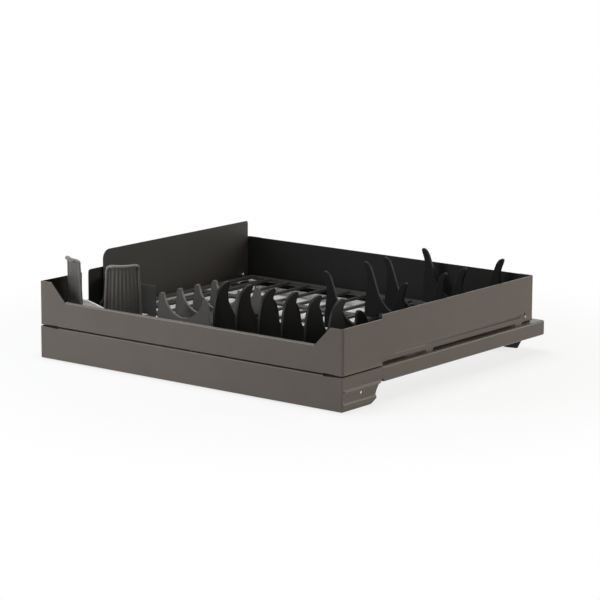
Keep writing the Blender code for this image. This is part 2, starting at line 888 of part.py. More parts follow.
def back_wall(finish):
    """The back wall, seated inside the side walls' turned ends, with a foot flange."""
    half = wall_x - wall_corner - seat_gap
    flange_half = wall_x - back_flange_inset
    y = behind(wall_inner_y - seat_gap)
    face = [
        (-half, y, wall_bottom_z),
        (-flange_half, y, wall_bottom_z),
        (flange_half, y, wall_bottom_z),
        (half, y, wall_bottom_z),
        (half, y, wall_top_z),
        (-half, y, wall_top_z),
    ]
    flange = [
        (-flange_half, y, wall_bottom_z),
        (flange_half, y, wall_bottom_z),
        (flange_half, y - back_flange, wall_bottom_z),
        (-flange_half, y - back_flange, wall_bottom_z),
    ]
    return folded_sheet("back_wall", [face, flange], (0, 1, 0), wall_sheet, finish)


def tall_side_panel(finish):
    """The tall panel that stands inside the left wall, with rounded top corners."""
    outer_x = -(wall_inner_x - groove_depth - seat_gap)
    low, top = wall_bottom_z + wall_sheet + seat_gap, wall_bottom_z + tall_height
    outline = [(tall_front, low), (tall_rear, low)]
    outline += arc((tall_rear - wall_corner, top - wall_corner), wall_corner, 0, 90, corner_steps)
    outline += arc((tall_front + tall_corner, top - tall_corner), tall_corner, 90, 180, corner_steps)
    made = extruded(
        "tall_side_panel", outline, outer_x, outer_x + wall_sheet, lambda a, b, c: (c, behind(a), b), finish
    )
    hole = cylinder(
        "panel_hole",
        screw_radius + seat_gap,
        (outer_x - cut_overrun, behind(screw_y), wall_bottom_z + screw_lift),
        (outer_x + wall_sheet + cut_overrun, behind(screw_y), wall_bottom_z + screw_lift),
        finish,
        screw_sides,
    )
    combine(made, hole, "DIFFERENCE")
    return made


def floor_grid(finish):
    """The basket's floor: slats that run back inside an edge frame, tied by three cross bars."""
    half = wall_inner_x - grid_side_gap
    front = grid_front
    rear = wall_inner_y - seat_gap - wall_sheet - grid_rear_gap
    pitch = (half * 2 - grid_edge) / (slat_count + 1)
    xs, slats = [-half, -half + grid_edge], []
    for i in range(1, slat_count + 1):
        centre = -half + grid_edge / 2 + pitch * i
        slats.append(len(xs))
        xs += [centre - slat_width / 2, centre + slat_width / 2]
    xs += [half - grid_edge, half]
    middle = (side_rail_ys[1] + face_rail_front) / 2
    bars = (side_rail_ys[0], side_rail_ys[1], middle + (rear - middle) / 2)
    ys = [front, front + grid_edge]
    solid_rows = [0]
    for centre in bars:
        solid_rows.append(len(ys) - 1 + 1)
        ys += [centre - grid_cross_width / 2, centre + grid_cross_width / 2]
    solid_rows.append(len(ys))
    ys += [rear - grid_edge, rear]
    solid_columns = {0, len(xs) - 2} | set(slats)
    bm = bmesh.new()
    grid = [[bm.verts.new((x, behind(y), grid_bottom_z)) for y in ys] for x in xs]
    for i in range(len(xs) - 1):
        for j in range(len(ys) - 1):
            if i in solid_columns or j in solid_rows:
                bm.faces.new((grid[i][j], grid[i + 1][j], grid[i + 1][j + 1], grid[i][j + 1]))
    raised = bmesh.ops.extrude_face_region(bm, geom=bm.faces[:])
    top = [item for item in raised["geom"] if isinstance(item, bmesh.types.BMVert)]
    bmesh.ops.translate(bm, vec=(0, 0, grid_height), verts=top)
    bmesh.ops.recalc_face_normals(bm, faces=bm.faces)
    return add_object("floor_grid", mesh_from(bm, "floor_grid"), finish)


def rail(name, start, end, finish):
    """An inverted U rail on the floor grid, between two (x, y) points along X or Y."""
    (x0, y0), (x1, y1) = start, end
    half = rail_width / 2
    along_x = y0 == y1
    section = ((-half, rail_bottom_z), (-half, rail_top_z), (half, rail_top_z), (half, rail_bottom_z))
    faces = []
    for (a, z), (b, next_z) in zip(section, section[1:]):
        if along_x:
            face = [(x0, y0 + a, z), (x0, y0 + b, next_z), (x1, y0 + b, next_z), (x1, y0 + a, z)]
        else:
            face = [(x0 + a, y0, z), (x0 + b, y0, next_z), (x0 + b, y1, next_z), (x0 + a, y1, z)]
        faces.append(face)
    outward = (0, -1, 0) if along_x else (-1, 0, 0)
    return folded_sheet(name, faces, outward, rail_sheet, finish, bend=rail_bend)


def with_notches(base, centres):
    """The base line of a divider, from its high end to its low end, with a notch over each rail."""
    half = rail_width / 2 + notch_clearance
    high = rail_top_z + notch_clearance
    line = []
    for centre in sorted(centres, reverse=True):
        line += [(centre + half, base), (centre + half, high), (centre - half, high), (centre - half, base)]
    return line


side_divider_shares = (
    (0.0, 0.5),
    (0.02, 0.7),
    (0.058, 0.852),
    (0.118, 0.955),
    (0.19, 0.999),
    (0.238, 0.99),
    (0.24, 0.945),
    (0.215, 0.87),
    (0.203, 0.77),
    (0.222, 0.63),
    (0.275, 0.48),
    (0.35, 0.32),
    (0.46, 0.19),
    (0.58, 0.15),
    (0.69, 0.2),
    (0.76, 0.31),
    (0.79, 0.44),
    (0.8, 0.55),
    (0.83, 0.58),
    (0.88, 0.55),
    (0.95, 0.42),
    (0.985, 0.25),
    (1.0, 0.1),
)


def side_divider(name, x, finish):
    """A divider for plates that face sideways: a tall horn at the front and a low one at the rear."""
    curve = [
        (side_divider_front + a * side_divider_length, divider_bottom_z + b * side_divider_height)
        for a, b in side_divider_shares
    ]
    outline = [(side_divider_front, divider_bottom_z)] + curve
    outline += [(side_divider_front + side_divider_length, divider_bottom_z)]
    outline += with_notches(divider_bottom_z, side_rail_ys)
    low = x - divider_thickness / 2
    made = extruded(name, outline, low, low + divider_thickness, lambda a, b, c: (c, behind(a), b), finish)
    add_bevel(made, divider_bevel)
    return made


face_horn_shares = (
    (0.905, 0.2),
    (0.88, 0.4),
    (0.86, 0.56),
    (0.856, 0.68),
    (0.875, 0.81),
    (0.93, 0.95),
    (0.925, 0.995),
    (0.865, 0.99),
    (0.79, 0.92),
    (0.71, 0.74),
    (0.645, 0.57),
    (0.57, 0.4),
    (0.43, 0.24),
    (0.26, 0.145),
    (0.0, 0.105),
)


def face_divider(name, y, finish):
    """A divider for plates that face the front: two horns that lean outwards over a shallow valley."""
    right = [(a * face_divider_half, divider_bottom_z + b * face_divider_height) for a, b in face_horn_shares]
    half = [(right[0][0], divider_bottom_z)] + right
    left = [(-a, b) for a, b in reversed(half[:-1])]
    rails = (-face_rail_offset, face_rail_offset)
    outline = half + left + [(a, b) for a, b in reversed(with_notches(divider_bottom_z, rails))]
    low = y - divider_thickness / 2
    made = extruded(
        name,
        outline,
        low,
        low + divider_thickness,
        lambda a, b, c: (face_divider_x + a, behind(c), b),
        finish,
    )
    add_bevel(made, divider_bevel)
    return made


def bowl_cradle(name, y, finish):
    """A U-shaped cradle for a stack of bowls: two prongs with round tips beside a round valley."""
    valley_z = divider_bottom_z + cradle_valley_lift + cradle_valley_radius
    tip_z = divider_bottom_z + cradle_height - cradle_tip_radius
    tip_x = cradle_tip_half - cradle_tip_radius
    reach = math.degrees(math.acos((tip_x - cradle_tip_radius) / cradle_valley_radius))
    half = [(cradle_base_half, divider_bottom_z)]
    half += arc((tip_x, tip_z), cradle_tip_radius, 0, 180, arc_steps // 2)
    half += arc((0, valley_z), cradle_valley_radius, -reach, -90, arc_steps)
    left = [(-a, b) for a, b in reversed(half[:-1])]
    rails = (-cradle_rail_offset, cradle_rail_offset)
    outline = half + left + [(a, b) for a, b in reversed(with_notches(divider_bottom_z, rails))]
    low = y - cradle_thickness / 2
    made = extruded(
        name, outline, low, low + cradle_thickness, lambda a, b, c: (cradle_x + a, behind(c), b), finish
    )
    add_bevel(made, divider_bevel)
    return made


def cup_tray(finish):
    """The pale tray with sloping sides that the left cup rest stands in."""
    left = cup_tray_side_gap - half_width
    right, rear = left + cup_tray_width, cup_tray_front + cup_tray_length
    bottom = grid_top_z + seat_gap
    top = bottom + cup_tray_height
    upper = rounded_rectangle((left, cup_tray_front), (right, rear), cup_tray_corner, corner_steps)
    lower = rounded_rectangle(
        (left + cup_tray_draft, cup_tray_front + cup_tray_draft),
        (right - cup_tray_draft, rear - cup_tray_draft),
        cup_tray_corner - cup_tray_draft,
        corner_steps,
    )
    faces = []
    for i in range(len(upper)):
        j = (i + 1) % len(upper)
        faces.append(
            [
                (upper[i][0], behind(upper[i][1]), top),
                (upper[j][0], behind(upper[j][1]), top),
                (lower[j][0], behind(lower[j][1]), bottom),
                (lower[i][0], behind(lower[i][1]), bottom),
            ]
        )
    faces.append([(x, behind(y), bottom) for x, y in lower])
    return folded_sheet("cup_tray", faces, (0, 0, -1), cup_tray_sheet, finish, bend=0)


def rest_columns(width):
    """(share across the face, distance in front of it) for each line of the cup rest's fluted face."""
    rim_share = rest_rim_width / (width / 2)
    columns = [(-1, rest_rim), (-1, 0)]
    inner = 1 - rim_share
    for i in range(rest_rib_count * 2 + 1):
        share = -inner + 2 * inner * i / (rest_rib_count * 2)
        columns.append((share, rest_rib if i % 2 else 0))
    return columns + [(1, 0), (1, rest_rim)]


rest_rows_shares = ((0.0, 1.0), (0.02, 1.0), (0.09, 0.25), (0.16, 0.0), (0.55, 0.0), (0.88, 0.0))


def cup_rest(name, place, turn, base_width, bottom, finish):
    """An upright cup rest: fluted, bowed forward, with a raised rim and a top that curls over."""
    x, y = place
    columns = rest_columns(base_width)
    rows = []
    for height_share, flare_share in rest_rows_shares:
        rows.append((rest_height * height_share, rest_foot_flare * flare_share, 1, 1))
    curl_radius = rest_curl / 2
    for angle, narrow_share in rest_curl_shares:
        swing = math.radians(angle)
        reach = curl_radius * (1 - math.cos(swing))
        rise = rest_height - curl_radius + curl_radius * math.sin(swing)
        rows.append((rise, reach, 0, narrow_share))
    grid = []
    for rise, forward, fluted, narrow_share in rows:
        width = base_width / 2 * (1 + (rest_top_share - 1) * min(rise / rest_height, 1)) * narrow_share
        line = []
        for share, depth in columns:
            bow = rest_bulge * (1 - share**2)
            dip = rest_dip * (1 - share**2) * (rise / rest_height) ** 2
            out = bow + forward + depth * (fluted if abs(share) < 1 else 1)
            across = share * width
            line.append(
                (
                    x + across * math.cos(turn) + out * math.sin(turn),
                    behind(y) + across * math.sin(turn) - out * math.cos(turn),
                    bottom + rise - dip,
                )
            )
        grid.append(line)
    faces = []
    for low, high in zip(grid, grid[1:]):
        for i in range(len(low) - 1):
            faces.append([low[i], low[i + 1], high[i + 1], high[i]])
    outward = (math.sin(turn), -math.cos(turn), 0)
    faces.insert(0, faces.pop(len(columns) // 2))
    made = folded_sheet(name, faces, outward, rest_sheet, finish, bend=0)
    made.modifiers["thickness"].use_even_offset = False
    return made


def cross_panel(finish):
    """The plate that closes the cup zone at the rear, fixed to the left wall by a folded edge."""
    left = -(wall_inner_x - seat_gap)
    right = left + cross_panel_width
    bottom = grid_top_z + cross_panel_lift
    top = bottom + cross_panel_height
    y, rear = behind(cross_panel_y), behind(cross_panel_y + cross_panel_flange)
    face = [(left, y, bottom), (right, y, bottom), (right, y, top), (left, y, top)]
    flange = [(left, y, bottom), (left, rear, bottom), (left, rear, top), (left, y, top)]
    return folded_sheet("cross_panel", [face, flange], (0, -1, 0), cross_panel_sheet, finish)


def build():
    for old in list(bpy.data.objects):
        bpy.data.objects.remove(old, do_unlink=True)
    paint = material("warm grey paint", (0.118, 0.105, 0.092), 0.38, 0.25)
    black = material("black moulding", (0.012, 0.012, 0.012), 0.5)
    graphite = material("graphite moulding", (0.06, 0.058, 0.054), 0.42)
    steel = material("zinc steel", (0.55, 0.56, 0.57), 0.3, 1.0)
    brass = material("cage steel", (0.42, 0.4, 0.36), 0.4, 1.0)
    pale = material("pale moulding", (0.5, 0.5, 0.49), 0.4)
    screw_steel = material("screw steel", (0.6, 0.6, 0.58), 0.25, 1.0)

    for side, name in ((1, "right"), (-1, "left")):
        runner(side, name, steel, brass)
        foot(side, "front_foot_" + name, front_foot_y, black)
        rear_foot(side, name, black)
        soft_close(side, "soft_close_" + name, graphite)
        side_wall(side, "side_wall_" + name, paint)
        wall_screw(side, "wall_screw_" + name, screw_steel)

    lower_front_panel(paint)
    tray_frame(paint)
    cross_member("front_cross_member", front_cross_y, steel)
    cross_member("rear_cross_member", rear_cross_y, steel)
    drip_tray(pale)

    upper_front_panel(paint)
    back_wall(paint)
    tall_side_panel(paint)
    floor_grid(paint)

    first_x = side_divider_last_x - side_divider_pitch * (side_divider_count - 1)
    rail_ends = (first_x - rail_overhang, side_divider_last_x + rail_overhang)
    for name, y in zip(("front_divider_rail", "rear_divider_rail"), side_rail_ys):
        rail(name, (rail_ends[0], behind(y)), (rail_ends[1], behind(y)), black)
    for i in range(side_divider_count):
        side_divider(f"side_plate_divider_{i + 1}", first_x + side_divider_pitch * i, black)

    face_rail_rear = face_divider_ys[-1] + rail_overhang / 2
    for name, offset in (("left_divider_rail", -face_rail_offset), ("right_divider_rail", face_rail_offset)):
        x = face_divider_x + offset
        rail(name, (x, behind(face_rail_front)), (x, behind(face_rail_rear)), black)
    for i, y in enumerate(face_divider_ys):
        face_divider(f"front_plate_divider_{i + 1}", y, black)

    cradle_ys = [cradle_front + cradle_pitch * i for i in range(cradle_count)]
    for name, offset in (("left_cradle_rail", -cradle_rail_offset), ("right_cradle_rail", cradle_rail_offset)):
        x = cradle_x + offset
        rail(name, (x, behind(cradle_ys[0] - rail_overhang)), (x, behind(cradle_ys[-1] + rail_overhang)), black)
    for i, y in enumerate(cradle_ys):
        bowl_cradle(f"bowl_cradle_{i + 1}", y, graphite)

    cup_tray(pale)
    on_grid = grid_top_z + seat_gap
    in_tray = on_grid + cup_tray_sheet + seat_gap
    left_place = (left_rest_inset - half_width, left_rest_y)
    right_place = (right_rest_inset - half_width, right_rest_y)
    cup_rest("cup_rest_left", left_place, left_rest_turn, left_rest_width, in_tray, graphite)
    cup_rest("cup_rest_right", right_place, right_rest_turn, rest_width, on_grid, graphite)
    cross_panel(paint)


build()
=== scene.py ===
"""How the pull-out dish rack looks: finishes, finer meshes for its pieces, light and camera.

Lengths are in millimetres until at() turns them into metres. x runs across the rack, y is the distance
back from the front panel's face and z is the height over the cabinet's floor.
"""

import json
import math

import bmesh
import bpy
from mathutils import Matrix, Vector

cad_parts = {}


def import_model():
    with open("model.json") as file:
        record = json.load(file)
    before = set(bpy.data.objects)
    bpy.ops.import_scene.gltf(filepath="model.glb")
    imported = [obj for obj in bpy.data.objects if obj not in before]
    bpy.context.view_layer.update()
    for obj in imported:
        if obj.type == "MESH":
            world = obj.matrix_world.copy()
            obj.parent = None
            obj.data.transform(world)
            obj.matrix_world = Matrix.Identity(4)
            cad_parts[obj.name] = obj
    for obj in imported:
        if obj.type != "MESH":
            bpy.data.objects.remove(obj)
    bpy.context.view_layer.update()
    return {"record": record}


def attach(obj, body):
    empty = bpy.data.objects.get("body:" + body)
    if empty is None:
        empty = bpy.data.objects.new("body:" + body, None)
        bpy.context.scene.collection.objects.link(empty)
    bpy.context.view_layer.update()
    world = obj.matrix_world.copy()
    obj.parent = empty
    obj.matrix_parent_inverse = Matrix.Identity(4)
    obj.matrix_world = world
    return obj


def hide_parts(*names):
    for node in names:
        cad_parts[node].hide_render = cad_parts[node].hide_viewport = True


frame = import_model()
record = frame["record"]
body_of = {node: body for body, nodes in record["behaviour"]["bodies"].items() for node in nodes}

mm = 0.001
front = -253.5
panel = 1.5
half_width = 280.0
runner_x = 202.0
sin, cos, radians = math.sin, math.cos, math.radians


def at(x, y, z):
    return Vector((x, front + y, z)) * mm


# Finishes


def coat(name, colour, roughness, metallic=0.0, specular=0.5, spread=0.05, uneven=0.05, grain=900, bump=0.06, clouds=16, stretch=(1, 1, 1), gloss=0.0):
    """A finish with faint clouds of colour, an uneven sheen and a fine relief, all held to the object."""
    made = bpy.data.materials.new(name)
    made.use_nodes = True
    tree = made.node_tree
    shader = tree.nodes["Principled BSDF"]
    shader.inputs["Metallic"].default_value = metallic
    shader.inputs["Specular IOR Level"].default_value = specular
    shader.inputs["Coat Weight"].default_value = gloss
    shader.inputs["Coat Roughness"].default_value = 0.22
    place = tree.nodes.new("ShaderNodeTexCoord")
    mapping = tree.nodes.new("ShaderNodeMapping")
    mapping.inputs["Scale"].default_value = stretch
    tree.links.new(place.outputs["Object"], mapping.inputs["Vector"])
    cloud = tree.nodes.new("ShaderNodeTexNoise")
    cloud.inputs["Scale"].default_value = clouds
    cloud.inputs["Detail"].default_value = 4
    tree.links.new(mapping.outputs["Vector"], cloud.inputs["Vector"])
    ramp = tree.nodes.new("ShaderNodeValToRGB")
    ramp.color_ramp.elements[0].position = 0.3
    ramp.color_ramp.elements[1].position = 0.7
    ramp.color_ramp.elements[0].color = (*[value * (1 - spread) for value in colour], 1)
    ramp.color_ramp.elements[1].color = (*[value * (1 + spread) for value in colour], 1)
    tree.links.new(cloud.outputs["Fac"], ramp.inputs["Fac"])
    tree.links.new(ramp.outputs["Color"], shader.inputs["Base Color"])
    fine = tree.nodes.new("ShaderNodeTexNoise")
    fine.inputs["Scale"].default_value = grain
    fine.inputs["Detail"].default_value = 2
    tree.links.new(mapping.outputs["Vector"], fine.inputs["Vector"])
    sheen = tree.nodes.new("ShaderNodeMapRange")
    sheen.inputs["From Min"].default_value = 0.3
    sheen.inputs["From Max"].default_value = 0.7
    sheen.inputs["To Min"].default_value = roughness - uneven
    sheen.inputs["To Max"].default_value = roughness + uneven
    tree.links.new(fine.outputs["Fac"], sheen.inputs["Value"])
    tree.links.new(sheen.outputs["Result"], shader.inputs["Roughness"])
    relief = tree.nodes.new("ShaderNodeBump")
    relief.inputs["Strength"].default_value = bump
    relief.inputs["Distance"].default_value = 0.0002
    tree.links.new(fine.outputs["Fac"], relief.inputs["Height"])
    tree.links.new(relief.outputs["Normal"], shader.inputs["Normal"])
    return made


paint = coat("warm grey powder coat", (0.118, 0.098, 0.081), 0.36, specular=0.2, bump=0.08, gloss=0.28)
# A near-black finish of painted shade, for the inner faces of the folded sheets and for the dark sheets set in seams
# and gaps, where the inside lies out of the light.
paint_inside_shade = coat("painted shade inside", (0.012, 0.0112, 0.0105), 0.6, specular=0.15, bump=0.05)
# The tall panel, the cross panel with the tall panel's foot strip, and the floor grid take darker copies of the powder
# coat: painted shade for the light they lose inside the rack.
paint_tall_shade = coat("tall panel coat with painted shade", (0.04, 0.037, 0.034), 0.5, specular=0.3, bump=0.06)
paint_cross_shade = coat("cross panel coat with painted shade", (0.042, 0.04, 0.038), 0.5, specular=0.3, bump=0.06)
paint_grid_shade = coat("floor grid coat with painted shade", (0.03, 0.028, 0.026), 0.5, specular=0.3, bump=0.06)
black = coat("black moulding", (0.0055, 0.0055, 0.0058), 0.44, specular=0.13, grain=1400, bump=0.03, uneven=0.04)
graphite = coat("graphite moulding", (0.105, 0.098, 0.091), 0.42, specular=0.4, grain=1400, bump=0.04)
# The cup rests' rims take a lighter copy of the graphite moulding, and that lighter colour is a painted highlight along
# the rim.
graphite_rim_highlight = coat("graphite moulding rim with painted highlight", (0.125, 0.117, 0.11), 0.34, specular=0.5, grain=1400, bump=0.03)
dull_steel = coat("dull screw steel", (0.3, 0.27, 0.25), 0.34, metallic=0.9, grain=900, bump=0.03, clouds=300)
pale = coat("pale moulding", (0.84, 0.84, 0.83), 0.36, grain=1200, bump=0.02, spread=0.02)
zinc = coat("zinc steel", (0.55, 0.56, 0.57), 0.3, metallic=1.0, grain=700, bump=0.03, clouds=60, spread=0.1, stretch=(1, 0.15, 1))
cage_steel = coat("cage steel", (0.42, 0.4, 0.36), 0.32, metallic=1.0, grain=900, bump=0.02, clouds=60, spread=0.08)
ball_steel = coat("ball steel", (0.7, 0.7, 0.7), 0.12, metallic=1.0, grain=900, bump=0.0, uneven=0.03, spread=0.03)
screw_steel = coat("screw steel", (0.6, 0.6, 0.58), 0.24, metallic=1.0, grain=900, bump=0.03, clouds=300)
black_steel = coat("black coated steel", (0.012, 0.012, 0.012), 0.42, specular=0.3, bump=0.06)


# Mesh helpers


def add(name, bm, *finishes):
    mesh = bpy.data.meshes.new(name)
    bm.to_mesh(mesh)
    bm.free()
    mesh.shade_smooth()
    made = bpy.data.objects.new(name, mesh)
    for finish in finishes:
        mesh.materials.append(finish)
    bpy.context.collection.objects.link(made)
    return made


def soften(made, width, segments=2, angle=50):
    """Rounds the sharp edges and keeps the flats flat."""
    modifier = made.modifiers.new("edges", "BEVEL")
    modifier.width = width * mm
    modifier.segments = segments
    modifier.limit_method = "ANGLE"
    modifier.angle_limit = radians(angle)
    made.modifiers.new("shading", "WEIGHTED_NORMAL").keep_sharp = True
    return made


def cut(made, cutters, operation="DIFFERENCE"):
    """Takes the cutters out of a piece, or joins them to it, and drops them."""
    for cutter in cutters:
        modifier = made.modifiers.new("cut", "BOOLEAN")
        modifier.operation = operation
        modifier.solver = "EXACT"
        modifier.object = cutter
    bpy.context.view_layer.update()
    graph = bpy.context.evaluated_depsgraph_get()
    mesh = bpy.data.meshes.new_from_object(made.evaluated_get(graph))
    made.modifiers.clear()
    made.data = mesh
    mesh.shade_smooth()
    for cutter in cutters:
        bpy.data.objects.remove(cutter)
    return made


def dress(made, *nodes, body=None, slot=None):
    """The piece stands for these CAD nodes and rides on their body."""
    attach(made, body or body_of[nodes[0]])
    if nodes:
        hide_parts(*nodes)
    return made


def sheet(name, faces, outward, finishes, thickness=panel, bend=2.2, steps=5, even=True, fold=50):
    """A folded sheet from flat faces, given as corner points: its folds are rounded, and it has a thickness."""
    bm = bmesh.new()
    points = {}
    for face in faces:
        corners = []
        for corner in face:
            key = tuple(round(value, 3) for value in corner)
            if key not in points:
                points[key] = bm.verts.new(at(*corner))
            corners.append(points[key])
        bm.faces.new(corners)
    bmesh.ops.recalc_face_normals(bm, faces=bm.faces)
    bm.faces.ensure_lookup_table()
    if bm.faces[0].normal.dot(Vector(outward)) < 0:
        bmesh.ops.reverse_faces(bm, faces=bm.faces)
    folds = [edge for edge in bm.edges if len(edge.link_faces) == 2 and edge.calc_face_angle() > radians(fold)]
    if bend and folds:
        bmesh.ops.bevel(bm, geom=folds, offset=bend * mm, segments=steps, profile=0.5, affect="EDGES")
    made = add(name, bm, *finishes)
    solidify = made.modifiers.new("thickness", "SOLIDIFY")
    solidify.thickness = thickness * mm
    solidify.offset = -1
    solidify.use_even_offset = even
    # The inner faces take the second finish, which for the rack's sheets is a near-black painted shade.
    if len(finishes) > 1:
        solidify.material_offset = 1
    return made


def arc(centre, radius, start, end, steps):
    turns = [radians(start + (end - start) * i / steps) for i in range(steps + 1)]
    return [(centre[0] + radius * cos(t), centre[1] + radius * sin(t)) for t in turns]


def rounded_rectangle(low, high, radius, steps=8):
    (x0, y0), (x1, y1) = low, high
    corners = (((x1, y0), -90, -1, 1), ((x1, y1), 0, -1, -1), ((x0, y1), 90, 1, -1), ((x0, y0), 180, 1, 1))
    line = []
    for (cx, cy), turn, sx, sy in corners:
        line += arc((cx + sx * radius, cy + sy * radius), radius, turn, turn + 90, steps)
    return line


def curve_through(points, steps=5):
    """A smooth line through the points, with steps short lines between each two."""
    ends = [points[0]] + list(points) + [points[-1]]
    line = []
    for a, b, c, d in zip(ends, ends[1:], ends[2:], ends[3:]):
        a, b, c, d = Vector(a), Vector(b), Vector(c), Vector(d)
        t0, t1 = 0, max((b - a).length, 1e-6) ** 0.5
        t2 = t1 + max((c - b).length, 1e-6) ** 0.5
        t3 = t2 + max((d - c).length, 1e-6) ** 0.5
        for i in range(steps):
            t = t1 + (t2 - t1) * i / steps
            p = a.lerp(b, (t - t0) / (t1 - t0))
            q = b.lerp(c, (t - t1) / (t2 - t1))
            r = c.lerp(d, (t - t2) / (t3 - t2))
            line.append(tuple(p.lerp(q, (t - t0) / (t2 - t0)).lerp(q.lerp(r, (t - t1) / (t3 - t1)), (t - t1) / (t2 - t1))))
    return line + [tuple(points[-1])]


def solid(name, outline, start, end, place, finish, edge=0.8, segments=3):
    """A closed outline of (a, b) points pushed from start to end, with rounded edges."""
    bm = bmesh.new()
    low = [bm.verts.new(at(*place(a, b, start))) for a, b in outline]
    high = [bm.verts.new(at(*place(a, b, end))) for a, b in outline]
    bm.faces.new(low)
    bm.faces.new(high)
    for i in range(len(outline)):
        j = (i + 1) % len(outline)
        bm.faces.new((low[i], low[j], high[j], high[i]))
    bmesh.ops.recalc_face_normals(bm, faces=bm.faces)
    made = add(name, bm, finish)
    return soften(made, edge, segments) if edge else made


def turned(name, profile, start, along, finish, sides=48):
    """A turned piece: profile holds (distance along the axis, radius) points from end to end."""
    start, along = Vector(start), Vector(along).normalized()
    side = along.orthogonal().normalized()
    other = along.cross(side)
    bm = bmesh.new()
    rings = []
    for distance, radius in profile:
        ring = []
        for i in range(sides):
            turn = math.tau * i / sides
            ring.append(bm.verts.new(at(*(start + along * distance + (side * cos(turn) + other * sin(turn)) * radius))))
        rings.append(ring)
    for ring, after in zip(rings, rings[1:]):
        for i in range(sides):
            j = (i + 1) % sides
            bm.faces.new((ring[i], ring[j], after[j], after[i]))
    bm.faces.new(rings[0])
    bm.faces.new(rings[-1])
    bmesh.ops.recalc_face_normals(bm, faces=bm.faces)
    return add(name, bm, finish)


def rod(name, radius, start, end, finish, sides=32):
    start, end = Vector(start), Vector(end)
    return turned(name, [(0, radius), ((end - start).length, radius)], start, end - start, finish, sides)


def loft(name, rings, finish, close_start=True, close_end=True):
    """A closed skin over rings of as many points each."""
    bm = bmesh.new()
    rows = [[bm.verts.new(at(*point)) for point in ring] for ring in rings]
    for row, after in zip(rows, rows[1:]):
        for i in range(len(row)):
            j = (i + 1) % len(row)
            bm.faces.new((row[i], row[j], after[j], after[i]))
    if close_start:
        bm.faces.new(rows[0])
    if close_end:
        bm.faces.new(rows[-1])
    bmesh.ops.recalc_face_normals(bm, faces=bm.faces)
    return add(name, bm, finish)


def ease(value):
    value = min(max(value, 0), 1)
    return value * value * (3 - 2 * value)


# Lower front panel: rows of the return are (height, rear edge, how far it stands out)

return_rows = (
    (50.1, 93.2, 0), (40, 93.2, 0), (34, 93.2, 0), (32.7, 92.7, 0), (32, 90.8, 0.15), (31.2, 89.3, 0.75), (30.3, 88.2, 1.5),
    (29.4, 87.2, 1.9), (28.6, 86.4, 1.8), (28, 85.8, 1.1), (27.5, 85.3, 0.35), (26.9, 84.7, 0), (24.5, 82.6, 0), (22, 80.8, 0),
    (19, 79, -0.05), (16.4, 78.1, -0.2), (14.9, 78, -0.75), (13.4, 78.2, -0.6), (11.9, 78.5, 0.25), (10.4, 78.6, 0.75),
    (9, 78.2, 0.8), (7.6, 77.1, 0.35), (6.2, 75.4, -0.25), (4.8, 73, -0.3), (3.3, 69.6, -0.1), (2.1, 65, 0),
)
column_shares = (0, 0.14, 0.28, 0.42, 0.57, 0.71, 0.85, 1)


def lower_front_panel():
    reach, top, left_reach = 247, 50.1, 1.5
    face = [(half_width, 0, row[0]) for row in reversed(return_rows)] + [(reach, 0, top), (-reach, 0, top)]
    face += [(-half_width - left_reach, 0, row[0]) for row in return_rows]
    faces = [face, [(-reach, 0, top), (reach, 0, top), (reach, 12, top), (-reach, 12, top)]]
    for side in (-1, 1):
        lines = []
        for z, rear, out in return_rows:
            ys = [0, 2.4, 3.2, 4.1] + [5 + (rear - 5) * share for share in column_shares]
            shift = (rear - 88) * ease((rear - 88) / 4) if side < 0 and rear > 88 else 0
            ys = [y - shift * ease((y - 5) / 70) for y in ys]
            further = left_reach if side < 0 else 0
            lines.append([(side * (half_width + out * ease((y - 2.4) / 2.6) + further * (1 - ease(y / 60))), y, z) for y in ys])
        for line, after in zip(lines, lines[1:]):
            for i in range(len(line) - 1):
                faces.append([line[i], line[i + 1], after[i + 1], after[i]])
    made = sheet("lower_front_panel_form", faces, (0, -1, 0), (paint, paint_inside_shade), bend=1.4, fold=75)
    cutters = [rod("return_hole", 2.2, (side * 270, 44.6, 22.6), (side * 290, 44.6, 22.6), paint) for side in (-1, 1)]
    cut(made, cutters)
    return dress(soften(made, 0.3), "lower_front_panel")


def corner_shade_sheet(name, side, body, low, high):
    """A near-black sheet behind the seam at a front corner: painted shade that darkens the seam."""
    outline = [(247.5, 2), (278.6, 2), (278.6, 88), (268, 88), (268, 12), (247.5, 12)]
    made = solid(name, outline, low, high, lambda a, b, c: (side * a, b, c), paint_inside_shade, 0.3, 2)
    return dress(made, body=body, slot="grey_paint")


def tray_frame():
    """The rim, open inside. Its front ends have a slanted lower corner behind the front panel's returns."""
    section = ((22, 50.3, 93.6), (0, 50.3, 93.6), (0, 34, 93.6), (0, 33, 95.4), (0, 27.8, 99.5), (14, 27.8, 99.5))
    lines = []
    for inset, z, start in section:
        radius = max(4.5 - inset, 0.6)
        x, rear = half_width - inset, 507 - inset
        half = [(x, start), (x, 120)] + arc((x - radius, rear - radius), radius, 0, 90, 6)
        lines.append([(px, py, z) for px, py in half + [(-px, py) for px, py in reversed(half)]])
    faces = []
    for line, after in zip(lines, lines[1:]):
        for i in range(len(line) - 1):
            faces.append([line[i], line[i + 1], after[i + 1], after[i]])
    made = sheet("tray_frame_form", faces, (0, 0, 1), (paint, paint_inside_shade), bend=2.8)
    return dress(soften(made, 0.3), "tray_frame")


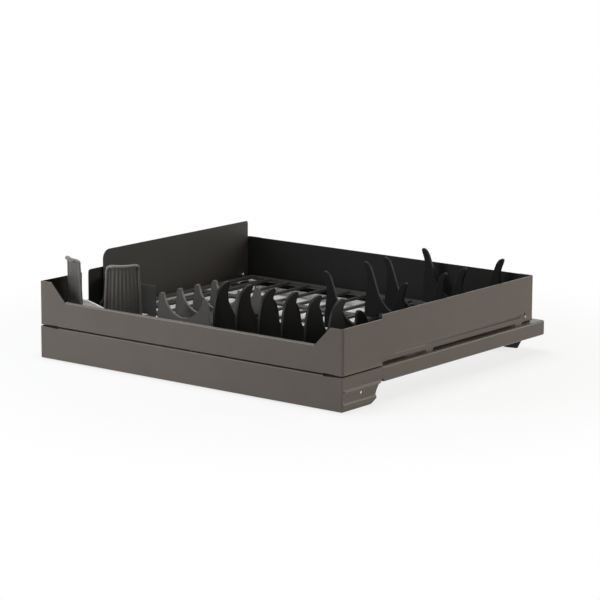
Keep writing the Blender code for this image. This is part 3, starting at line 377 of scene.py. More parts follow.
def upper_front_panel():
    """Two ears beside a lip with a rolled hem. A shallow line runs down each corner, and a bead along each return."""
    ear, low, lip, roll, reach = 117.7, 52.2, 91.2, 2.7, 231.5
    rows = ((ear, 0), (100, 0), (80, 0), (60, 0), (56, 0), (55.1, 0.45), (54, 0.55), (53.1, 0.25), (low, 0))
    half = [(half_width, z) for z, out in reversed(rows)]
    half += [(259.8, ear), (258.9, ear - 0.35), (258.2, ear - 1.0)]
    half += [(234.2, lip + 0.9), (233.3, lip - 0.3), (232.4, lip - 1.4), (reach, lip - roll)]
    left_reach = 0.7
    outline = [(-247, low), (247, low)] + half + [(-x - (left_reach if x == half_width else 0), z) for x, z in reversed(half)]
    faces = [[(x, 0, z) for x, z in outline]]
    hem = [(roll - roll * cos(radians(15 * i)), lip - roll + roll * sin(radians(15 * i))) for i in range(13)] + [(2 * roll, 80)]
    for (y, z), (next_y, next_z) in zip(hem, hem[1:]):
        faces.append([(-reach, y, z), (reach, y, z), (reach, next_y, next_z), (-reach, next_y, next_z)])
    faces.append([(-247, 0, low), (247, 0, low), (247, 12, low), (-247, 12, low)])
    for side in (-1, 1):
        lines = []
        rear = 92.4 if side > 0 else 88
        for z, out in rows:
            columns = [(0, 0), (1.55, 0), (2.0, -0.75), (2.7, -0.8), (3.4, 0), (6, out), (rear - 3, out), (rear, out * 0.5)]
            further = left_reach if side < 0 else 0
            lines.append([(side * (half_width + x + further * (1 - ease(y / 60))), y, z) for y, x in columns])
        for line, after in zip(lines, lines[1:]):
            for i in range(len(line) - 1):
                faces.append([line[i], line[i + 1], after[i + 1], after[i]])
    made = sheet("upper_front_panel_form", faces, (0, -1, 0), (paint, paint_inside_shade), bend=1.4, fold=75)
    return dress(soften(made, 0.3), "upper_front_panel")


def side_wall(side, name):
    wall_x, low, top, rear, corner = 274.0, 53.7, 121.7, 482.0, 4.0
    tabs = [y + end * reach for y in (214, 443) for end in (-1, 1) for reach in (8.5, 11)]
    start = 99.5 if side > 0 else 96.8
    straight = sorted([start, start + 0.5, start + 1.4, start + 2.7, start + 4.5, 133, 134.3, 136, 180, 260, 320, 380, 444, 446.5, 449, rear - corner] + tabs)
    stations = [(0, y) for y in straight] + [(-a, b) for a, b in arc((-corner, rear - corner), corner, 0, 90, 6)[1:]]
    stations.append((corner + 20, rear))
    groove = ((7.6, 0), (8.0, 0.45), (8.6, 1.0), (10.5, 0.82), (12.5, 0.52), (14.2, 0.22), (15.2, 0.05), (15.8, 0))
    levels = [(low, 0)] + [(low + lift, depth) for lift, depth in groove] + [(low + 22, 0), (top, 0)]

    def corner_at(station, level):
        inset, y = stations[station]
        z, depth = levels[level]
        if inset == 0:
            deep = 1.1 if side < 0 else 0.9 + 1.5 * ease((y - 136) / 300)
            inset = depth * deep * ease((y - 133) / 3) * ease((451.5 - y) / 7.5)
        past = max(4.5 - (y - start), 0) if inset < 10 else 0
        if z == top:
            z -= 4.5 - math.sqrt(4.5**2 - past**2)
        return (side * (wall_x - inset), y, z)

    faces = []
    for i in range(len(stations) - 1):
        for level in range(len(levels) - 1):
            faces.append([corner_at(i, level), corner_at(i + 1, level), corner_at(i + 1, level + 1), corner_at(i, level + 1)])
    faces.insert(0, faces.pop(len(levels) - 2))
    x = side * wall_x
    for (inset, y), (after, next_y) in zip(stations, stations[1:]):
        if after:
            break
        middle = (y + next_y) / 2
        from_tab = min(abs(middle - 214), abs(middle - 443))
        if from_tab < 8.5:
            faces.append([(x, y, low), (x, next_y, low), (x, next_y, 50.6), (x, y, 50.6)])
        if from_tab >= 11:
            inner = side * (wall_x - 14)
            faces.append([(x, y, low), (x, next_y, low), (inner, next_y, low), (inner, y, low)])
    tongue = side * (half_width - 1.8)
    bottom, high = levels[8][0], levels[9][0]
    joggle, end = start - 5.5, 61.5
    faces.append([(x, start, bottom), (tongue, joggle, bottom), (tongue, joggle, high), (x, start, high)])
    faces.append([(tongue, joggle, bottom), (tongue, end, bottom), (tongue, end, high), (tongue, joggle, high)])
    made = sheet(name + "_form", faces, (side, 0, 0), (paint, paint_inside_shade), fold=88)
    hole = rod("screw_hole", 2.2, (side * 268, 459.3, 61.2), (side * 280, 459.3, 61.2), paint)
    above = rod("small_hole", 2.1, (side * 268, 458.4, 66), (side * 280, 458.4, 66), paint)
    cut(made, [hole, above])
    # A near-black strip under the wall's rear end: painted shade in the gap between the wall and the rim.
    shade_flap = [(side * 271, 455), (side * 272.4, 455), (side * 272.4, 477), (side * 271, 477)]
    fold = solid(name + "_rear_shade_sheet", shade_flap, 50.8, 54, lambda a, b, c: (a, b, c), paint_inside_shade, 0.2, 2)
    dress(fold, body="basket", slot="grey_paint")
    return dress(soften(made, 0.3), name)


def wall_screw(side, name):
    """A pan head with a cross recess over the wall, its shank and its nut inside."""
    inner = 272.5 - 0.3 - (3.0 if side < 0 else 0)
    profile = [(0, 2.1), (0.1, 2.3), (0.4, 2.35), (0.8, 2.2), (1.1, 1.9), (1.3, 1.4), (1.4, 0.8), (1.42, 0.25)]
    made = turned(name + "_form", profile, (side * 274.3, 459.3, 61.2), (side, 0, 0), dull_steel)
    cutters = []
    for turn in (0, 90):
        across = Vector((0, cos(radians(turn + 20)), sin(radians(turn + 20))))
        over = Vector((0, -across.z, across.y))
        bm = bmesh.new()
        corners = []
        for depth, reach, wide in ((275.0, 0.4, 0.2), (276.4, 1.4, 0.32)):
            for a, b in ((-1, -1), (1, -1), (1, 1), (-1, 1)):
                p = Vector((side * depth, 459.3, 61.2)) + across * (a * reach) + over * (b * wide)
                corners.append(bm.verts.new(at(*p)))
        for face in ((0, 1, 2, 3), (4, 5, 6, 7), (0, 1, 5, 4), (1, 2, 6, 5), (2, 3, 7, 6), (3, 0, 4, 7)):
            bm.faces.new([corners[i] for i in face])
        bmesh.ops.recalc_face_normals(bm, faces=bm.faces)
        cutters.append(add("recess", bm, black_steel))
    cut(made, cutters)
    dress(soften(made, 0.1), name)
    shank = rod(name + "_shank", 1.9, (side * (inner - 2.6), 459.3, 61.2), (side * 274.5, 459.3, 61.2), screw_steel)
    dress(shank, body="basket", slot="screw_steel")
    nut = rod(name + "_nut", 4, (side * (inner - 3), 459.3, 61.2), (side * inner, 459.3, 61.2), screw_steel, 6)
    dress(soften(nut, 0.3), body="basket", slot="screw_steel")


def back_wall():
    half, reach, y, low, top = 269.7, 255, 480.2, 53.7, 121.7
    face = [(-half, y, low), (-reach, y, low), (reach, y, low), (half, y, low), (half, y, top), (-half, y, top)]
    flange = [(-reach, y, low), (reach, y, low), (reach, y - 13, low), (-reach, y - 13, low)]
    made = sheet("back_wall_form", [face, flange], (0, 1, 0), (paint, paint_inside_shade))
    return dress(soften(made, 0.3), "back_wall")


def tall_side_panel():
    """The tall panel, with round top corners and a strip down its front edge that flares into a foot."""
    outer, low, top, start = -271.0, 55.5, 148.0, 126.5
    outline = [(start, low), (473, low)] + arc((469, top - 4), 4, 0, 90, 6) + arc((start + 14.5, top - 14.5), 14.5, 90, 180, 12)
    made = solid("tall_side_panel_form", outline, outer, outer + panel, lambda a, b, c: (c, a, b), paint_tall_shade, 0)
    hole = rod("panel_hole", 2.2, (-275, 459.3, 61.2), (-265, 459.3, 61.2), paint_tall_shade)
    cut(made, [hole])
    dress(soften(made, 0.35), "tall_side_panel")
    middle = curve_through([(start - 0.4, 104), (start - 0.4, 84), (start - 1.2, 78), (122.6, 71.5), (118.4, 67.6), (116.2, 61), (116, 59.5)], 5)
    faces = []
    for (y, z), (next_y, next_z) in zip(middle, middle[1:]):
        faces.append([(outer, y, z), (outer + 4.2, y, z), (outer + 4.2, next_y, next_z), (outer, next_y, next_z)])
    strip = sheet("tall_panel_foot", faces, (0, -1, 0), (paint_cross_shade,), 2.2, 0)
    return dress(soften(strip, 0.35), body="basket", slot="grey_paint")


def cross_panel():
    """A low panel that stands on the grid, bent back at its left end to a flange on the tall panel."""
    left, right, low, top, y = -258.5, -157.7, 64.5, 107.2, 118
    face = [(left, y, low), (-172, y, low), (-171, y, 59.5), (-158.5, y, 59.5), (right, y, low), (right, y, top - 1.5)]
    face += [(right - 0.4, y, top - 0.4), (right - 1.5, y, top), (left, y, top)]
    back = [(left, y, low), (-269.5, y + 12.5, low), (-269.5, y + 12.5, top), (left, y, top)]
    flange = [(-269.5, y + 12.5, low), (-269.5, y + 24, low), (-269.5, y + 24, top), (-269.5, y + 12.5, top)]
    made = sheet("cross_panel_form", [face, back, flange], (0, -1, 0), (paint_cross_shade, paint_inside_shade))
    return dress(soften(made, 0.35), "cross_panel")


def floor_grid():
    """Slats that run back inside an edge frame, tied by cross bars."""
    half, start, rear, low, high = 265.7, 3.0, 476.7, 55.5, 59.5
    pitch = (half * 2 - 12) / 13
    xs, slats = [-half, -half + 12], []
    for i in range(1, 13):
        centre = -half + 6 + pitch * i
        slats.append(len(xs))
        xs += [centre - 3, centre + 3]
    xs += [half - 12, half]
    middle = (150 + 196) / 2
    ys, rows = [start, start + 12], [0]
    for centre in (48, 150, middle + (rear - middle) / 2):
        rows.append(len(ys))
        ys += [centre - 8, centre + 8]
    rows.append(len(ys))
    ys += [rear - 12, rear]
    columns = {0, len(xs) - 2} | set(slats)
    bm = bmesh.new()
    grid = [[bm.verts.new(at(x, y, low)) for y in ys] for x in xs]
    for i in range(len(xs) - 1):
        for j in range(len(ys) - 1):
            if i in columns or j in rows:
                bm.faces.new((grid[i][j], grid[i + 1][j], grid[i + 1][j + 1], grid[i][j + 1]))
    bmesh.ops.delete(bm, geom=[vert for vert in bm.verts if not vert.link_faces], context="VERTS")
    raised = bmesh.ops.extrude_face_region(bm, geom=bm.faces[:])
    top = [item for item in raised["geom"] if isinstance(item, bmesh.types.BMVert)]
    bmesh.ops.translate(bm, vec=(0, 0, (high - low) * mm), verts=top)
    bmesh.ops.recalc_face_normals(bm, faces=bm.faces)
    return dress(soften(add("floor_grid_form", bm, paint_grid_shade), 0.8, 3), "floor_grid")


def rail(name, start, end):
    (x0, y0), (x1, y1) = start, end
    section = ((-5, 59.8), (-5, 65.8), (5, 65.8), (5, 59.8))
    along_x = y0 == y1
    faces = []
    for (a, z), (b, after) in zip(section, section[1:]):
        if along_x:
            faces.append([(x0, y0 + a, z), (x0, y0 + b, after), (x1, y0 + b, after), (x1, y0 + a, z)])
        else:
            faces.append([(x0 + a, y0, z), (x0 + b, y0, after), (x0 + b, y1, after), (x0 + a, y1, z)])
    outward = (0, -1, 0) if along_x else (-1, 0, 0)
    return dress(soften(sheet(name + "_form", faces, outward, (black,), 1.2, 1.6, 5), 0.25), name)


def with_notches(centres):
    line = []
    for centre in sorted(centres, reverse=True):
        line += [(centre + 5.4, 62.1), (centre + 5.4, 66.2), (centre - 5.4, 66.2), (centre - 5.4, 62.1)]
    return line


side_divider_shares = (
    (0.0, 0.5), (0.02, 0.7), (0.058, 0.852), (0.118, 0.955), (0.19, 0.999), (0.232, 0.992), (0.243, 0.95),
    (0.215, 0.87), (0.203, 0.77), (0.222, 0.63), (0.275, 0.48), (0.35, 0.32), (0.46, 0.19), (0.58, 0.15),
    (0.69, 0.2), (0.76, 0.31), (0.79, 0.44), (0.8, 0.55), (0.83, 0.58), (0.88, 0.55), (0.95, 0.42),
    (0.985, 0.25), (1.0, 0.1),
)
face_horn_shares = (
    (0.905, 0.2), (0.88, 0.4), (0.86, 0.56), (0.856, 0.68), (0.875, 0.81), (0.93, 0.95), (0.925, 0.995),
    (0.865, 0.99), (0.79, 0.92), (0.71, 0.74), (0.645, 0.57), (0.57, 0.4), (0.43, 0.24), (0.26, 0.145),
    (0.0, 0.105),
)


def side_divider(name, x):
    curve = curve_through([(24.5 + a * 148, 62.1 + b * 84.5) for a, b in side_divider_shares], 4)
    outline = [(24.5, 62.1)] + curve + [(172.5, 62.1)] + with_notches((48, 150))
    return dress(solid(name + "_form", outline, x - 2.35, x + 2.35, lambda a, b, c: (c, a, b), black), name)


def face_divider(name, y):
    right = curve_through([(a * 80, 62.1 + b * 83) for a, b in face_horn_shares], 4)
    half = [(right[0][0], 62.1)] + right
    outline = half + [(-a, b) for a, b in reversed(half[:-1])]
    outline += [(a, b) for a, b in reversed(with_notches((-45, 45)))]
    return dress(solid(name + "_form", outline, y - 2.35, y + 2.35, lambda a, b, c: (160 + a, c, b), black), name)


def bowl_cradle(name, y):
    valley, tip, tip_x = 62.1 + 12 + 38, 62.1 + 45 - 4.1, 46 - 4.1
    reach = math.degrees(math.acos((tip_x - 4.1) / 38))
    half = [(51, 62.1)] + arc((tip_x, tip), 4.1, 0, 180, 12) + arc((0, valley), 38, -reach, -90, 16)
    outline = half + [(-a, b) for a, b in reversed(half[:-1])]
    outline += [(a, b) for a, b in reversed(with_notches((-38, 38)))]
    return dress(solid(name + "_form", outline, y - 2, y + 2, lambda a, b, c: (-77 + a, c, b), graphite), name)


def tray(name, low, high, corner, profile, finish):
    """A tray from rings: profile holds (how far inside its top outline, height) from its inner floor round to its base."""
    rings = []
    for inset, z in profile:
        inner = [(low[0] + inset, low[1] + inset), (high[0] - inset, high[1] - inset)]
        rings.append([(x, y, z) for x, y in rounded_rectangle(*inner, max(corner - inset, 0.5))])
    return loft(name, rings, finish)


def cup_tray():
    """A pale tray whose rim drops to the right, over a shallow ramp."""
    low, high = (-275, 13), (-197, 79)
    profile = [(7.5, 61.9), (4.6, 62.2), (3.7, 63.4), (2.6, 76.4), (2.5, 78.4), (2.15, 79.3), (1.4, 79.9), (0.2, 80.0)]
    profile += [(-0.7, 79.5), (-1.0, 78.5), (-0.7, 77.5), (0.2, 77.1), (0.5, 76.0), (1.9, 62.4), (2.6, 60.6), (4.2, 59.8)]
    rings = []
    for inset, z in profile:
        line = rounded_rectangle((low[0] + inset, low[1] + inset), (high[0] - inset, high[1] - inset), 16 - inset, 10)
        ring = []
        for (x, y), (next_x, next_y) in zip(line, line[1:] + line[:1]):
            pieces = 12 if abs(next_x - x) > 20 else 1
            for i in range(pieces):
                px, py = x + (next_x - x) * i / pieces, y + (next_y - y) * i / pieces
                right = min(max((px + 259) / 33, 0), 1)
                drop = (8.3 * right + 5.5 * ease((64 - py) / 30) * (1 - right)) * ease((z - 62.4) / 13)
                ring.append((px, py, z - drop))
        rings.append(ring)
    return dress(soften(loft("cup_tray_form", rings, pale), 0.2, 1, 60), "cup_tray")


def drip_tray():
    half, start, rear, base = 255.5, 14.5, 482.5, 31.9
    profile = [(6.5, base + 1.6), (4.9, base + 1.8), (4.3, base + 2.6), (2.4, base + 8.5), (2.2, base + 10.2)]
    profile += [(1.7, base + 11), (0.4, base + 11), (-0.3, base + 10.4), (-0.2, base + 9.3), (0.7, base + 8.9)]
    profile += [(2.4, base + 1.2), (3.2, base + 0.2), (4.4, base)]
    made = tray("drip_tray_form", (-half, start), (half, rear), 10, profile, pale)
    bars = []
    inside = rear - start - 20
    count = int(inside / 46)
    first = start + 10 + (inside - 46 * (count - 1)) / 2
    for i in range(count):
        y = first + 46 * i
        rings = []
        for inset, z in ((0, base + 0.8), (0, base + 1.5), (0.5, base + 2.1), (1.6, base + 2.9), (2.6, base + 3.2)):
            line = rounded_rectangle((-half + 13 + inset, y - 6 + inset), (half - 13 - inset, y + 6 - inset), 3.2 - inset)
            rings.append([(a, b, z) for a, b in line])
        bars.append(loft("tray_bar", rings, pale))
    return dress(soften(cut(made, bars, "UNION"), 0.25, 1, 60), "drip_tray")


def tube(name, path, widths, finish, sides=16):
    """A round bar along a path of points, each with its radius, with round ends."""
    points = [Vector(point) for point in path]
    first = (points[1] - points[0]).normalized()
    last = (points[-1] - points[-2]).normalized()
    steps = [(-0.7, 0.5), (-0.45, 0.8), (0, 1)]
    line = [(points[0] + first * shift * widths[0], share * widths[0]) for shift, share in steps]
    line += list(zip(points[1:-1], widths[1:-1]))
    line += [(points[-1] - last * shift * widths[-1], share * widths[-1]) for shift, share in reversed(steps)]
    side = first.orthogonal().normalized()
    rings = []
    for i, (point, radius) in enumerate(line):
        along = (line[min(i + 1, len(line) - 1)][0] - line[max(i - 1, 0)][0]).normalized()
        side = (side - along * side.dot(along)).normalized()
        other = along.cross(side)
        turns = [math.tau * j / sides for j in range(sides)]
        rings.append([point + (side * cos(turn) + other * sin(turn)) * radius for turn in turns])
    return loft(name, rings, finish)


def cup_rest(name, x, y, turn, low_width, top_width, bottom, height, corners, dip):
    """An upright rest: a fluted plate, bowed forward, whose top curls over into a round rim that runs down both sides."""
    across_steps, ribs, curl, lean, rim = 56, 8, 4.6, 3.0, 2.1
    straight = height - rim - curl
    rows = [(rise, 0) for rise in (0, 2, 4, 7, 11)]
    rows += [(11 + (straight - 11) * i / 14, 0) for i in range(1, 15)]
    rows += [(straight + curl * sin(radians(9 * i)), curl * (1 - cos(radians(9 * i)))) for i in range(1, 11)]
    peak = rows[-1][0]

    def place(share, row):
        rise, forward = row
        part = rise / peak
        full = (top_width + (low_width - top_width) * (1 - part)) / 2
        under, corner = peak - rise, corners[0] if share < 0 else corners[1]
        half = full - (corner - math.sqrt(max(corner**2 - (corner - under) ** 2, 0))) if under < corner else full
        across = share * half
        forward += 3.2 * (1 - (across / full) ** 2) + lean * (part - 1) - 1.5 * (1 - ease(rise / 9))
        inside = ease((1 - abs(share)) * half / 3 - 0.5) * ease((straight + 1 - rise) / 4) * ease((rise - 3) / 5)
        forward += 1.1 * (0.5 - 0.5 * cos(math.tau * ribs * (across / (full * 0.93) + 1) / 2)) * inside
        rise -= dip * (1 - (across / full) ** 2) * ease((part - 0.7) / 0.3)
        return across, forward, rise

    def world(across, forward, rise):
        return (x + across * cos(turn) + forward * sin(turn), y + across * sin(turn) - forward * cos(turn), bottom + rise)

    bm = bmesh.new()
    grid = [[bm.verts.new(at(*world(*place(-1 + 2 * i / across_steps, row)))) for i in range(across_steps + 1)] for row in rows]
    for row, after in zip(grid, grid[1:]):
        for i in range(across_steps):
            bm.faces.new((row[i], row[i + 1], after[i + 1], after[i]))
    bmesh.ops.recalc_face_normals(bm, faces=bm.faces)
    bm.faces.ensure_lookup_table()
    if bm.faces[across_steps // 2].normal.dot(Vector((sin(turn), -cos(turn), 0))) < 0:
        bmesh.ops.reverse_faces(bm, faces=bm.faces)
    made = add(name + "_form", bm, graphite)
    thick = made.modifiers.new("thickness", "SOLIDIFY")
    thick.thickness = 1.8 * mm
    thick.offset = -1
    dress(soften(made, 0.3), name)
    path = [place(-1, row) for row in rows]
    path += [place(-1 + 2 * i / 24, rows[-1]) for i in range(1, 24)] + [place(1, row) for row in reversed(rows)]
    path = [world(across, forward + 0.5, max(rise - 0.9 * ease((rise - straight) / curl), 1.4)) for across, forward, rise in path]
    widths = [rim + 0.7 * ease((point[2] - bottom - straight + 6) / 8) for point in path]
    made = tube(name + "_rim", path, widths, graphite_rim_highlight)
    return dress(made, body="basket", slot="graphite_plastic")


# Runners, their ball cages, feet and soft-close units


def channel(name, path, start, length, outward, thickness, finish, bend, edge=0.25):
    faces = []
    for (x, z), (next_x, next_z) in zip(path, path[1:]):
        faces.append([(x, start, z), (next_x, start, next_z), (next_x, start + length, next_z), (x, start + length, z)])
    return soften(sheet(name, faces, outward, (finish,), thickness, bend, 5), edge)


def ball_cage(node, centre, offset, bottom, ball_z):
    half, top = offset + 0.4, bottom + 6.6
    path = [(centre - half, top), (centre - half, bottom), (centre + half, bottom), (centre + half, top)]
    made = channel(node + "_form", path, 153, 220, (-1, 0, 0), 0.8, cage_steel, 1.25, 0.15)
    dress(made, node)
    for side in (-1, 1):
        for i in range(3):
            bm = bmesh.new()
            bmesh.ops.create_uvsphere(bm, u_segments=24, v_segments=16, radius=2 * mm)
            bmesh.ops.translate(bm, vec=at(centre + side * offset, 183 + 80 * i, ball_z), verts=bm.verts)
            ball = add(f"{node}_ball_{i + 1}{'r' if side > 0 else 'l'}", bm, ball_steel)
            dress(ball, body=body_of[node], slot="cage_steel")


def runner(side, name):
    x = side * runner_x
    path = [(x - 18.6, 22.3), (x - 22, 22.3), (x - 22, 9.8), (x + 22, 9.8), (x + 22, 22.3), (x + 18.6, 22.3)]
    dress(channel("cabinet_member_form_" + name, path, 38, 450, (0, 0, 1), 1.4, zinc, 2), "cabinet_member_" + name)
    outer = 22 - 1.4 - 0.3 - 2
    middle = outer - 2.3
    base = 9.8 + 1.4 + 1.8
    path = [(x - middle, base + 7), (x - middle, base), (x + middle, base), (x + middle, base + 7)]
    dress(channel("middle_member_form_" + name, path, 38, 450, (-1, 0, 0), 1.4, zinc, 2), "middle_member_" + name)
    inner = middle - 1.4 - 0.3 - 2
    drawer = inner - 2.3
    low, top = base + 1.4 + 2, 29.3
    path = [(x - drawer, low), (x - drawer, top), (x + drawer, top), (x + drawer, low)]
    dress(channel("drawer_member_form_" + name, path, 38, 450, (-1, 0, 0), 1.4, zinc, 2), "drawer_member_" + name)
    ball_cage("outer_ball_cage_" + name, x, outer, 9.8 + 1.4 + 0.45, base + 3.5)
    ball_cage("inner_ball_cage_" + name, x, inner, base + 1.4 + 0.45, low + 1.8)


def front_foot(side, name):
    x, top = side * runner_x, 9.5
    path = [(x - 47, 1.5), (x - 25, 1.5), (x - 22, top), (x + 22, top), (x + 25, 1.5), (x + 47, 1.5)]
    made = sheet(f"front_foot_form_{name}", [
        [(a, 44, z), (b, 44, after), (b, 74, after), (a, 74, z)] for (a, z), (b, after) in zip(path, path[1:])
    ], (0, 0, 1), (black_steel,), 1.5, 2, 5)
    cutters = [rod("foot_hole", 2.4, (x + end * 36, 59, -3), (x + end * 36, 59, 5), black_steel) for end in (-1, 1)]
    cut(made, cutters)
    return dress(soften(made, 0.25), "front_foot_" + name)


def rear_foot(side, name):
    top, y = 9.5, 502
    low_x = side * 172
    floor_x = low_x + side * 24
    upright = [(low_x, y, 0), (floor_x, y, 0), (side * 214, y, 0.5)] + [(side * a, y, b) for a, b in arc((233.5, 3.2), 1.8, -90, -30, 4)]
    upright += [(side * 241.5, y, 14), (side * 241.5, y, 20.5), (side * 240.5, y, 21.5), (side * 226.5, y, 21.5), (side * 225.5, y, 20.5)]
    upright += [(side * 225.5, y, top), (side * 224, y, top), (side * 180, y, top), (low_x, y, top)]
    faces = [
        upright,
        [(side * 180, y, top), (side * 224, y, top), (side * 224, y - 34, top), (side * 180, y - 34, top)],
        [(low_x, y, 0), (floor_x, y, 0), (floor_x, y - 24, 0), (low_x, y - 24, 0)],
    ]
    made = sheet("rear_foot_form_" + name, faces, (0, 1, 0), (black_steel,))
    hole_x = (low_x + floor_x) / 2
    cut(made, [rod("foot_hole", 2.4, (hole_x, y - 12, -3), (hole_x, y - 12, 5), black_steel)])
    return dress(soften(made, 0.25), "rear_foot_" + name)


def soft_close(side, name):
    outer = side * (runner_x - 22.3)
    x0, x1 = sorted((outer, outer - side * 18))
    rear, low = 474, 9.8
    outline = rounded_rectangle((x0, low), (x1, low + 12), 2.4, 4)
    made = solid("soft_close_form_" + name, outline, rear - 92, rear, lambda a, b, c: (a, c, b), graphite, 0.6)
    dress(made, "soft_close_" + name)
    x, z = (x0 + x1) / 2, low + 6
    profile = [(0, 1.8), (0.4, 2.4), (46, 2.4), (46.2, 3.2), (49, 3.2)]
    dress(turned("damper_rod_" + name, profile, (x, rear - 138, z), (0, 1, 0), zinc), body="root", slot="runner_steel")
    block = rounded_rectangle((x - 4.5, z - 4.5), (x + 4.5, z + 4.5), 1.5, 4)
    latch = solid("damper_latch_" + name, block, rear - 147, rear - 136.5, lambda a, b, c: (a, c, b), graphite, 0.5)
    dress(latch, body="root", slot="graphite_plastic")


def cross_member(name, y):
    half, top, inner = 277.9, 31.6, 165.0
    corners = [(-half, y), (-inner, y), (inner, y), (half, y), (half, y + 34), (inner, y + 34), (-inner, y + 34), (-half, y + 34)]
    faces = [[(x, py, top) for x, py in corners]]
    for edge in (y, y + 34):
        faces.append([(-inner, edge, top), (inner, edge, top), (inner, edge, 24.6), (-inner, edge, 24.6)])
    return dress(soften(sheet(name + "_form", faces, (0, 0, 1), (zinc,), 2, 2.6, 5), 0.3), name)


for side, name in ((1, "right"), (-1, "left")):
    runner(side, name)
    front_foot(side, name)
    rear_foot(side, name)
    soft_close(side, name)
    side_wall(side, "side_wall_" + name)
    wall_screw(side, "wall_screw_" + name)
lower_front_panel()
for side, name in ((1, "right"), (-1, "left")):
    corner_shade_sheet("lower_corner_guard_" + name, side, "rack", 48.3, 51.2)
    corner_shade_sheet("upper_corner_guard_" + name, side, "basket", 51.9, 54.1)
tray_frame()
cross_member("front_cross_member", 104)
cross_member("rear_cross_member", 420)
drip_tray()
upper_front_panel()
back_wall()
tall_side_panel()
floor_grid()
rail("front_divider_rail", (17, 48), (254, 48))
rail("rear_divider_rail", (17, 150), (254, 150))
for i in range(6):
    side_divider(f"side_plate_divider_{i + 1}", 33 + 41 * i)
rail("left_divider_rail", (115, 196), (115, 468))
rail("right_divider_rail", (205, 196), (205, 468))
for i, y in enumerate((213, 311.5, 361.5, 460)):
    face_divider(f"front_plate_divider_{i + 1}", y)
rail("left_cradle_rail", (-115, 72), (-115, 224))
rail("right_cradle_rail", (-39, 72), (-39, 224))
for i in range(4):
    bowl_cradle(f"bowl_cradle_{i + 1}", 88 + 40 * i)
cup_tray()
cup_rest("cup_rest_left", -248, 38.1, radians(-27), 54, 45.2, 62.1, 91, (13, 7), 0.5)
cup_rest("cup_rest_right", -165, 53.2, radians(49), 54.5, 46.2, 59.8, 90.3, (9, 8), 1.6)
cross_panel()


# Floor, light and camera


def mix_for_view(tree, first, second, share=None):
    """first for light that reaches other things, second for what the camera, a mirror or a window sees."""
    rays = tree.nodes.new("ShaderNodeLightPath")
    seen = None
    for name in ("Is Camera Ray", "Is Glossy Ray", "Is Transmission Ray"):
        if seen is None:
            seen = rays.outputs[name]
            continue
        most = tree.nodes.new("ShaderNodeMath")
        most.operation = "MAXIMUM"
        tree.links.new(seen, most.inputs[0])
        tree.links.new(rays.outputs[name], most.inputs[1])
        seen = most.outputs[0]
    if share is not None:
        scaled = tree.nodes.new("ShaderNodeMath")
        scaled.operation = "MULTIPLY"
        tree.links.new(seen, scaled.inputs[0])
        tree.links.new(share, scaled.inputs[1])
        seen = scaled.outputs[0]
    mix = tree.nodes.new("ShaderNodeMixShader")
    tree.links.new(seen, mix.inputs[0])
    tree.links.new(first, mix.inputs[1])
    tree.links.new(second, mix.inputs[2])
    return mix.outputs[0]


ambient = 0.1
world = bpy.data.worlds.new("studio")
bpy.context.scene.world = world
world.use_nodes = True
tree = world.node_tree
tree.nodes.clear()
dim = tree.nodes.new("ShaderNodeBackground")
dim.inputs["Color"].default_value = (1, 0.985, 0.965, 1)
dim.inputs["Strength"].default_value = ambient
white = tree.nodes.new("ShaderNodeBackground")
white.inputs["Color"].default_value = (1, 1, 1, 1)
white.inputs["Strength"].default_value = 1
output = tree.nodes.new("ShaderNodeOutputWorld")
tree.links.new(mix_for_view(tree, dim.outputs[0], white.outputs[0]), output.inputs["Surface"])

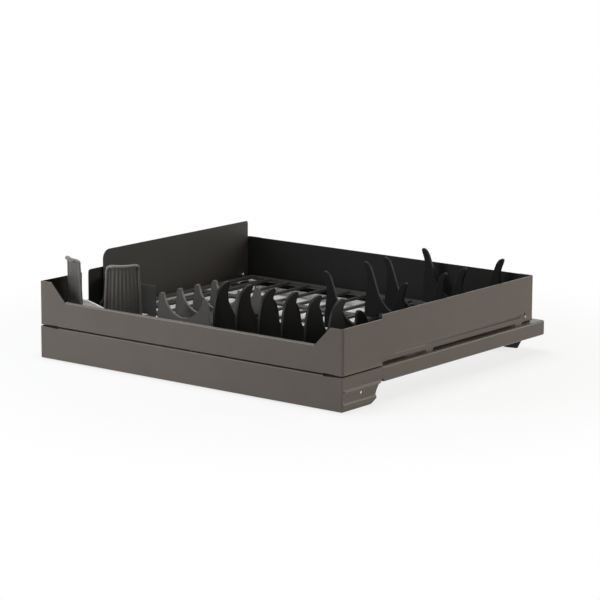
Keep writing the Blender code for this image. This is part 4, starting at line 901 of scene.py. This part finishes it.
bm = bmesh.new()
bmesh.ops.create_circle(bm, cap_ends=True, segments=96, radius=1.5)
floor_finish = bpy.data.materials.new("pale floor")
floor_finish.use_nodes = True
tree = floor_finish.node_tree
tree.nodes.clear()
matt = tree.nodes.new("ShaderNodeBsdfDiffuse")
matt.inputs["Color"].default_value = (0.86, 0.86, 0.86, 1)
glow = tree.nodes.new("ShaderNodeEmission")
glow.inputs["Color"].default_value = (1, 1, 1, 1)
glow.inputs["Strength"].default_value = 1
place = tree.nodes.new("ShaderNodeTexCoord")
length = tree.nodes.new("ShaderNodeVectorMath")
length.operation = "LENGTH"
tree.links.new(place.outputs["Object"], length.inputs[0])
fade = tree.nodes.new("ShaderNodeMapRange")
fade.interpolation_type = "SMOOTHSTEP"
fade.inputs["From Min"].default_value = 0.3
fade.inputs["From Max"].default_value = 0.75
fade.inputs["To Min"].default_value = 0.78
fade.inputs["To Max"].default_value = 1.0
tree.links.new(length.outputs["Value"], fade.inputs["Value"])
output = tree.nodes.new("ShaderNodeOutputMaterial")
tree.links.new(mix_for_view(tree, matt.outputs[0], glow.outputs[0], fade.outputs[0]), output.inputs["Surface"])
floor = add("floor", bm, floor_finish)
floor.location.z = -0.0002


def lamp(name, place, target, size, power, colour=(1, 1, 1)):
    light = bpy.data.lights.new(name, "AREA")
    light.shape = "RECTANGLE"
    light.size, light.size_y = size
    light.energy = power
    light.color = colour
    made = bpy.data.objects.new(name, light)
    made.location = place
    made.rotation_euler = (Vector(target) - Vector(place)).to_track_quat("-Z", "Y").to_euler()
    bpy.context.collection.objects.link(made)
    return made


lamp("key", (-0.75, -1.15, 0.5), (-0.15, -0.25, 0.06), (0.6, 0.5), 8, (0.88, 0.94, 1))
lamp("side", (1.9, 1.15, 0.7), (0.28, 0.2, 0.07), (0.9, 0.8), 12.4, (1, 0.81, 0.6))
lamp("rear", (1.0, 1.9, 0.7), (0.28, 0.2, 0.07), (0.9, 0.8), 6.4, (0.8, 1, 0.94))
lamp("top", (-0.1, -0.3, 2.1), (0, -0.1, 0.05), (1.4, 1.0), 30)

camera = bpy.data.cameras.new("camera")
camera.lens = 2627.205 * 36 / 600
camera.sensor_width = 36
camera.clip_start, camera.clip_end = 0.05, 50
eye = bpy.data.objects.new("camera", camera)
eye.location = (2.37421, -2.7745 - 0.2535, 0.84603)
yaw, pitch, roll = radians(37.992), radians(11.19), radians(0.22)
forward = Vector((-sin(yaw) * cos(pitch), cos(yaw) * cos(pitch), -sin(pitch)))
turn = forward.to_track_quat("-Z", "Y").to_euler()
turn.rotate_axis("Z", roll)
eye.rotation_euler = turn
bpy.context.collection.objects.link(eye)
bpy.context.scene.camera = eye
bpy.context.scene.view_settings.view_transform = "Standard"
